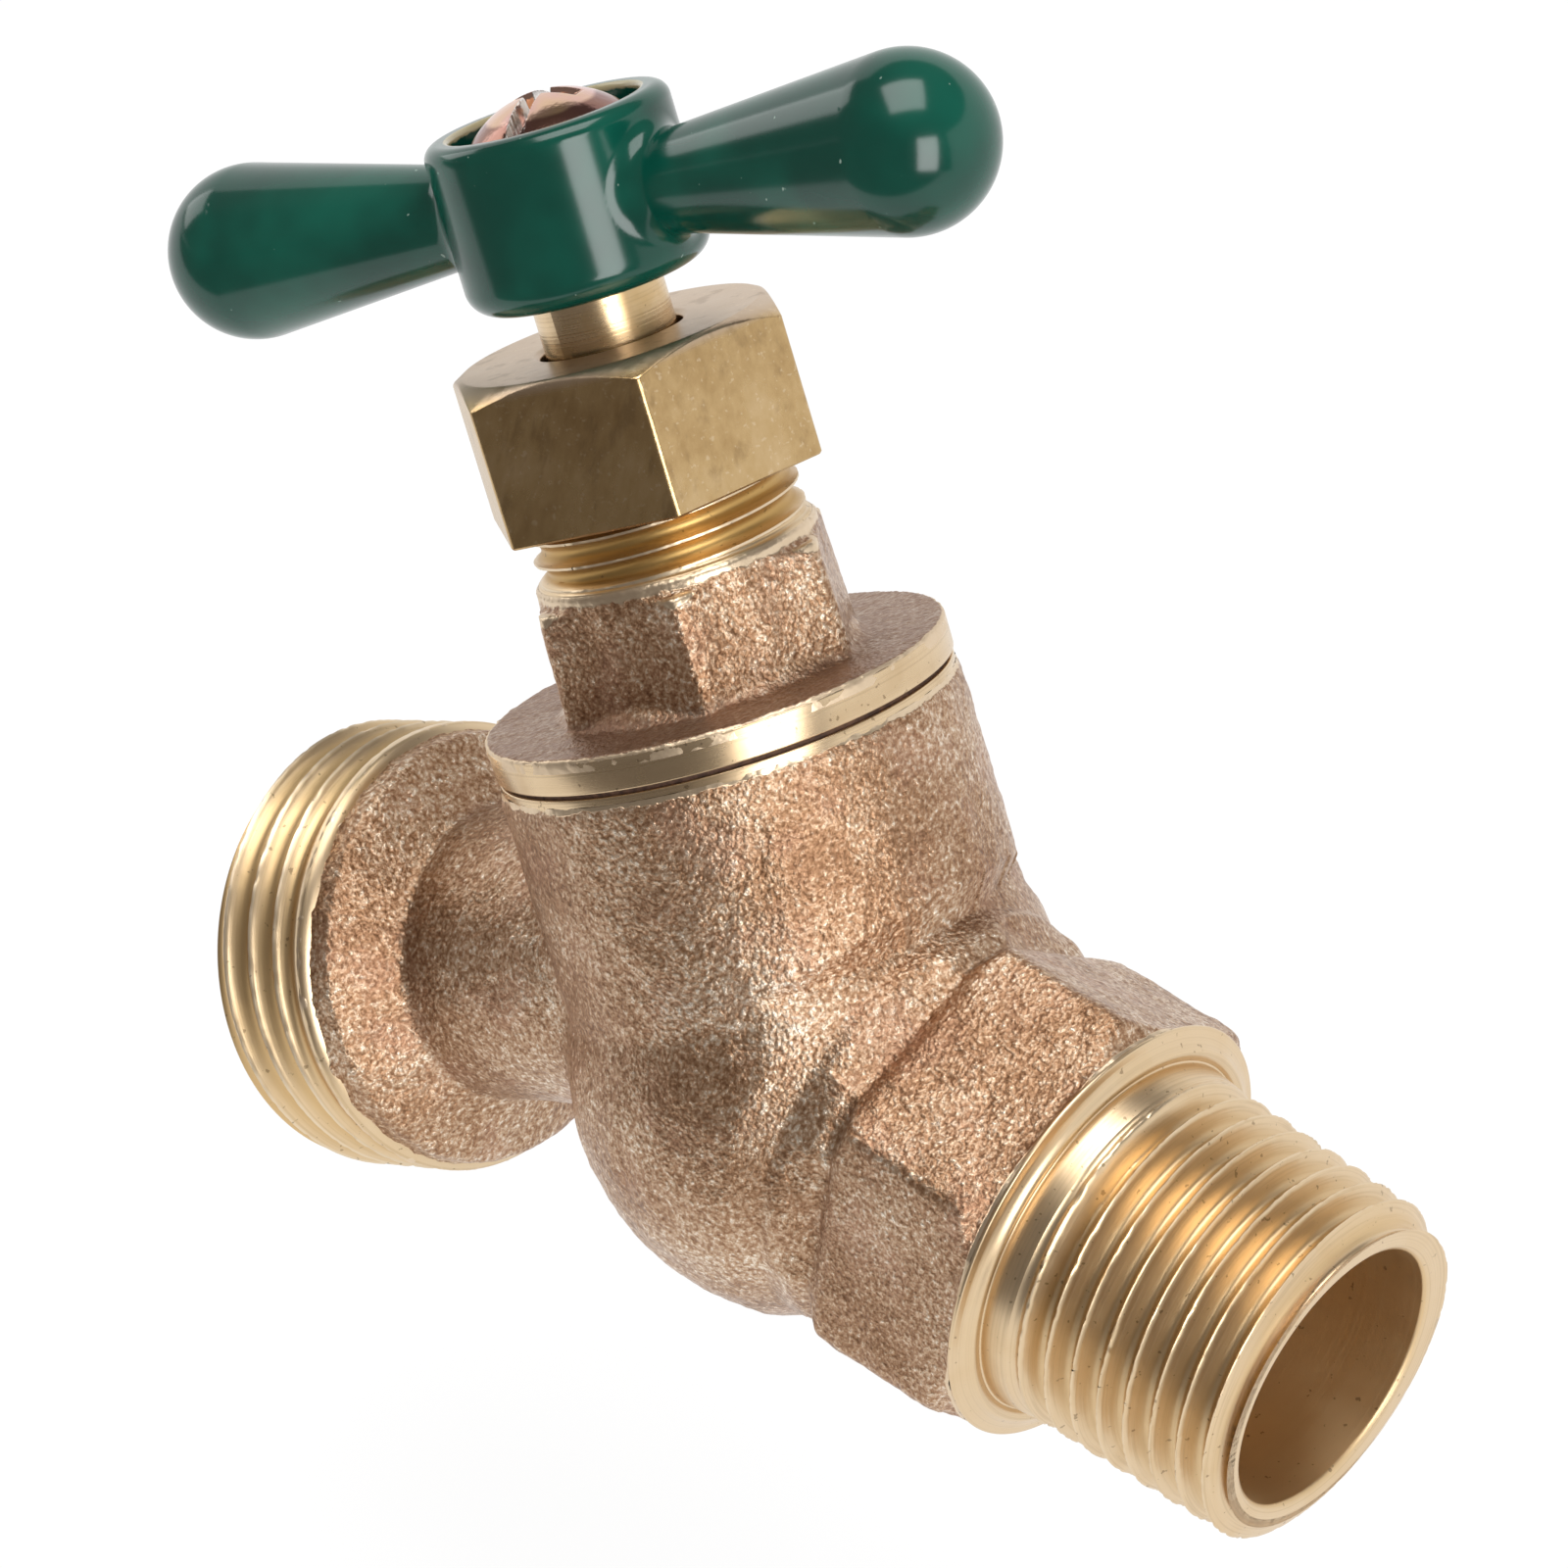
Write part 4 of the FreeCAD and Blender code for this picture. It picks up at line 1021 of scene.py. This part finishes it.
# %% The domed screw
SCREW_EDGE, SCREW_TOP, SCREW_RADIUS, SCREW_RINGS = 50.15, 52.3, 4.65, 60
SLOT_TURN = math.radians(20)
SLOT_HALF, SLOT_DEPTH, CROSS_DEPTH, CROSS_REACH = 0.5, 1.2, 1.5, 2.6
ZINC_STOPS = [
    (0.30, (0.68, 0.48, 0.26)),
    (0.45, (0.72, 0.48, 0.34)),
    (0.56, (0.70, 0.43, 0.40)),
    (0.70, (0.50, 0.34, 0.30)),
]
# The first of these colours is a painted shade for the dome's flank.
FLANK_SHADE_BROWN, BARE_STEEL = (0.17, 0.060, 0.055), (0.80, 0.79, 0.76)


def dome(radius):
    """The height of the head at a radius."""
    rise_of_dome = SCREW_TOP - SCREW_EDGE
    ball = (SCREW_RADIUS ** 2 + rise_of_dome ** 2) / (2 * rise_of_dome)
    return SCREW_TOP - ball + math.sqrt(ball ** 2 - radius ** 2)


def trough(distance, half_width, depth, soft=0.12):
    """How deep a recess is at this distance from its middle line."""
    share = clamped((half_width + soft - distance) / (2 * soft))
    return depth * share * share * (3 - 2 * share)


def head_row(radius):
    """A ring of the head, with the slot and the cross pressed into it."""
    def row(angle):
        x, y = radius * math.cos(angle - SLOT_TURN), radius * math.sin(angle - SLOT_TURN)
        slot = trough(abs(y), SLOT_HALF, SLOT_DEPTH, 0.06)
        cross = trough(abs(x), SLOT_HALF, CROSS_DEPTH * max(0.0, 1 - abs(y) / CROSS_REACH))
        return radius, dome(radius) - max(slot, cross)
    return row


def zinc_plate():
    """Yellow zinc, which drifts from gold to pink."""
    finish = Finish("yellow_zinc", Metallic=1.0)
    drift = grain(finish, 2.2, shift=4)
    tint = ramp(drift, ZINC_STOPS)
    along, _ = about(finish, STEM)
    # Painted shade: the dome's lower flank is tinted brown.
    flank = rise(51.45 - along + (drift - 0.5) * 0.8, 0.0, 0.2)
    tint = mix(flank * 0.8, tint, FLANK_SHADE_BROWN)
    across = tuple(STEM.to_3x3() @ Vector((-math.sin(SLOT_TURN), math.cos(SLOT_TURN), 0)))
    start = tuple(part / MM for part in STEM.translation)
    arm = vector_sum(finish, "SUBTRACT", {0: place(finish), 1: start})
    beside = vector_sum(finish, "DOT_PRODUCT", {0: arm, 1: across}, output="Value")
    beside = beside.sum("ABSOLUTE", beside, 0.0)
    bare = rise(beside, 0.4, 0.44) * rise(0.62 - beside, 0.0, 0.06)
    tint = mix(bare * 0.85, tint, BARE_STEEL)
    scratches = grain(finish, 0.3, detail=3, shift=8)
    finish.paint(Base_Color=tint, Roughness=0.1 + drift * 0.1, Normal=bump(scratches, 0.02))
    return finish.material


rows = [head_row(SCREW_RADIUS * ring / SCREW_RINGS) for ring in range(SCREW_RINGS + 1)]
shank = [(SCREW_RADIUS, 50.09), (SCREW_RADIUS, 49.2), (2.0, 49.2), (2.0, 41.75), (0.0, 41.7)]
rows += eased(shank, 0.1)
ZINC = zinc_plate()
screw_mesh = lathe_mesh("handle_screw", STEM, rows)
add_piece("handle_screw_dressed", screw_mesh, "spindle", ZINC, "plated_steel", "handle_screw")

# %% [markdown]
# ## The pieces inside
#
# The stem, the washers, the packing and its gland, the gasket and the washer's screw keep their CAD
# shapes, which are plain turned rings and bars in the real tap as well. They still get finishes of
# their own, because a part that is taken apart shows them.

# %% Finishes for the inner pieces
def soft_finish(name, low, high, size, depth, rough):
    """A dull material whose colour and relief come from one noise."""
    finish = Finish(name, Metallic=0.0)
    tone = grain(finish, size, detail=4)
    tint = mix(rise(tone, 0.3, 0.7), low, high)
    finish.paint(Base_Color=tint, Roughness=rough + tone * 0.15, Normal=bump(tone, depth))
    return finish.material


STEM_BRASS = turned_brass("stem_brass", STEM, root=(0.62, 0.42, 0.19), stain=0.8)
FIBRE = soft_finish("pressed_fibre", (0.045, 0.020, 0.012), (0.120, 0.060, 0.035), 0.25, 0.05, 0.7)
CORD = soft_finish("graphite_cord", (0.012, 0.012, 0.013), (0.060, 0.060, 0.062), 0.5, 0.08, 0.45)
RUBBER = soft_finish("rubber_face", (0.008, 0.008, 0.008), (0.025, 0.024, 0.023), 0.3, 0.02, 0.6)
inner = {
    "bonnet_gasket": FIBRE,
    "packing": CORD,
    "seat_washer": RUBBER,
    "packing_washer": STEM_BRASS,
    "packing_gland": STEM_BRASS,
    "stem": STEM_BRASS,
    "washer_screw": STEM_BRASS,
}
for node, finish in inner.items():
    for material_slot in frame["nodes"][node].material_slots:
        material_slot.material = finish
    print(node, "wears", finish.name)

# %% [markdown]
# ## The floor and the world
#
# The photograph is cut out on pure white. A pale floor a little below the tap stays close to that
# and still takes a shadow. Its shader is mostly a plain white for the camera and for reflections,
# and the rest is a matt white that lamps can shade. That rest fades out half a metre away, where
# no shadow falls, so the floor meets the world without a line. The world is white where the camera
# or a reflection meets it, and dimmer where it only lights, so that the lamps shape the form.

# %% Lay the floor and light the world
FLOOR_DROP, FLOOR_HALF = 0.03, 6
WHITE_SHARE, FADE_START, FADE_END = 0.86, 150.0, 500.0


def seen_or_mirrored(finish):
    """1 for the rays of the camera, reflections and glass, and 0 for those that gather light."""
    rays = ("Is Camera Ray", "Is Glossy Ray", "Is Transmission Ray")
    camera_ray, glossy, glass = (finish.node("ShaderNodeLightPath", {}, {}, ray) for ray in rays)
    return rise(camera_ray + glossy + glass, 0.0, 1.0)


def emission(finish, colour, strength):
    inputs = {"Color": colour, "Strength": strength}
    return finish.node("ShaderNodeEmission", {}, inputs, output="Emission")


floor_finish = Finish("pale_floor", Roughness=0.9, Specular_IOR_Level=0.0)
paper = mix(grain(floor_finish, 40.0), (0.9, 0.9, 0.9), (0.92, 0.92, 0.92))
floor_finish.paint(Base_Color=paper)
matt = Wire(floor_finish, floor_finish.shader.outputs["BSDF"])
white = emission(floor_finish, (1, 1, 1), 1.02)
reach = vector_sum(floor_finish, "LENGTH", {0: place(floor_finish)}, output="Value")
fade = rise(reach, FADE_START, FADE_END) * (1 - WHITE_SHARE) + WHITE_SHARE
share = seen_or_mirrored(floor_finish) * fade
blend = floor_finish.node("ShaderNodeMixShader", {}, {0: share, 1: matt, 2: white}, output="Shader")
floor_finish.feed(floor_finish.tree.nodes["Material Output"].inputs["Surface"], blend)

floor_mesh = bpy.data.meshes.new("floor")
low = cad_box[0].z - FLOOR_DROP
ends = ((-1, -1), (1, -1), (1, 1), (-1, 1))
corners = [(x * FLOOR_HALF, y * FLOOR_HALF, low) for x, y in ends]
floor_mesh.from_pydata(corners, [], [(0, 1, 2, 3)])
floor_mesh.materials.append(floor_finish.material)
floor = bpy.data.objects.new("floor", floor_mesh)
bpy.context.scene.collection.objects.link(floor)
print("floor at", round(low, 4))


class Sky(Finish):
    """The same words for the world's node tree."""

    def __init__(self, name):
        self.world = bpy.data.worlds.new(name)
        self.world.use_nodes = True
        self.tree = self.world.node_tree
        self.shader = self.tree.nodes["Background"]


sky = Sky("studio")
bpy.context.scene.world = sky.world
sky.feed(sky.shader.inputs["Color"], (1, 1, 1))
sky.feed(sky.shader.inputs["Strength"], seen_or_mirrored(sky) * 0.5 + 0.5)
bpy.context.scene.view_settings.view_transform = "Standard"

# %% [markdown]
# ## The dark side of the studio
#
# A photographer keeps the room behind the camera and over the set dark, so that polished metal
# shows dark as well as bright and its form can be read. The turned rims tell where that dark began:
# from a little above the table's edge upwards, and all round except at the back, where the pale
# backdrop stood. Part of a large sphere round the tap is that room. Only reflections see it, so it
# throws no shadow and no view is closed. A dark card on the table ends the pale floor a hand's
# width in front of the tap.

# %% Build the dark room
ROOM_REACH = 0.9
TABLE_EDGE, BACKDROP_TOP, BACKDROP_SIDE = -0.33, 0.6, -0.06
CARD_CORNERS, CARD_LIFT = ((0.11, -0.7), (0.9, -0.7), (0.9, 0.7), (0.11, 0.7)), 0.001


def dark_wall():
    """A wall that glows a little, with slow folds in its tone."""
    finish = Finish("dark_wall")
    tint = mix(grain(finish, 300.0), (0.12, 0.11, 0.10), (0.24, 0.22, 0.21))
    finish.feed(finish.tree.nodes["Material Output"].inputs["Surface"], emission(finish, tint, 1.0))
    return finish.material


def is_pale(way):
    """Whether a direction from the tap meets the table or the backdrop, and not the dark room."""
    return way.z < TABLE_EDGE or (way.x < BACKDROP_SIDE and way.z < BACKDROP_TOP)


shell = bmesh.new()
bmesh.ops.create_icosphere(shell, subdivisions=6, radius=ROOM_REACH)
pale = [face for face in shell.faces if is_pale(face.calc_center_median() / ROOM_REACH)]
bmesh.ops.delete(shell, geom=pale, context="FACES")
room_mesh = bpy.data.meshes.new("dark_room")
card = [Vector((x, y, low + CARD_LIFT)) - LOOK_AT for x, y in CARD_CORNERS]
shell.faces.new([shell.verts.new(corner) for corner in card])
shell.to_mesh(room_mesh)
shell.free()
room_mesh.materials.append(dark_wall())
room = bpy.data.objects.new("dark_room", room_mesh)
bpy.context.scene.collection.objects.link(room)
room.location = LOOK_AT
room.visible_camera = False
room.visible_diffuse = False
room.visible_shadow = False
room.visible_transmission = False
room.visible_volume_scatter = False
print("dark room has", len(room_mesh.polygons), "faces")
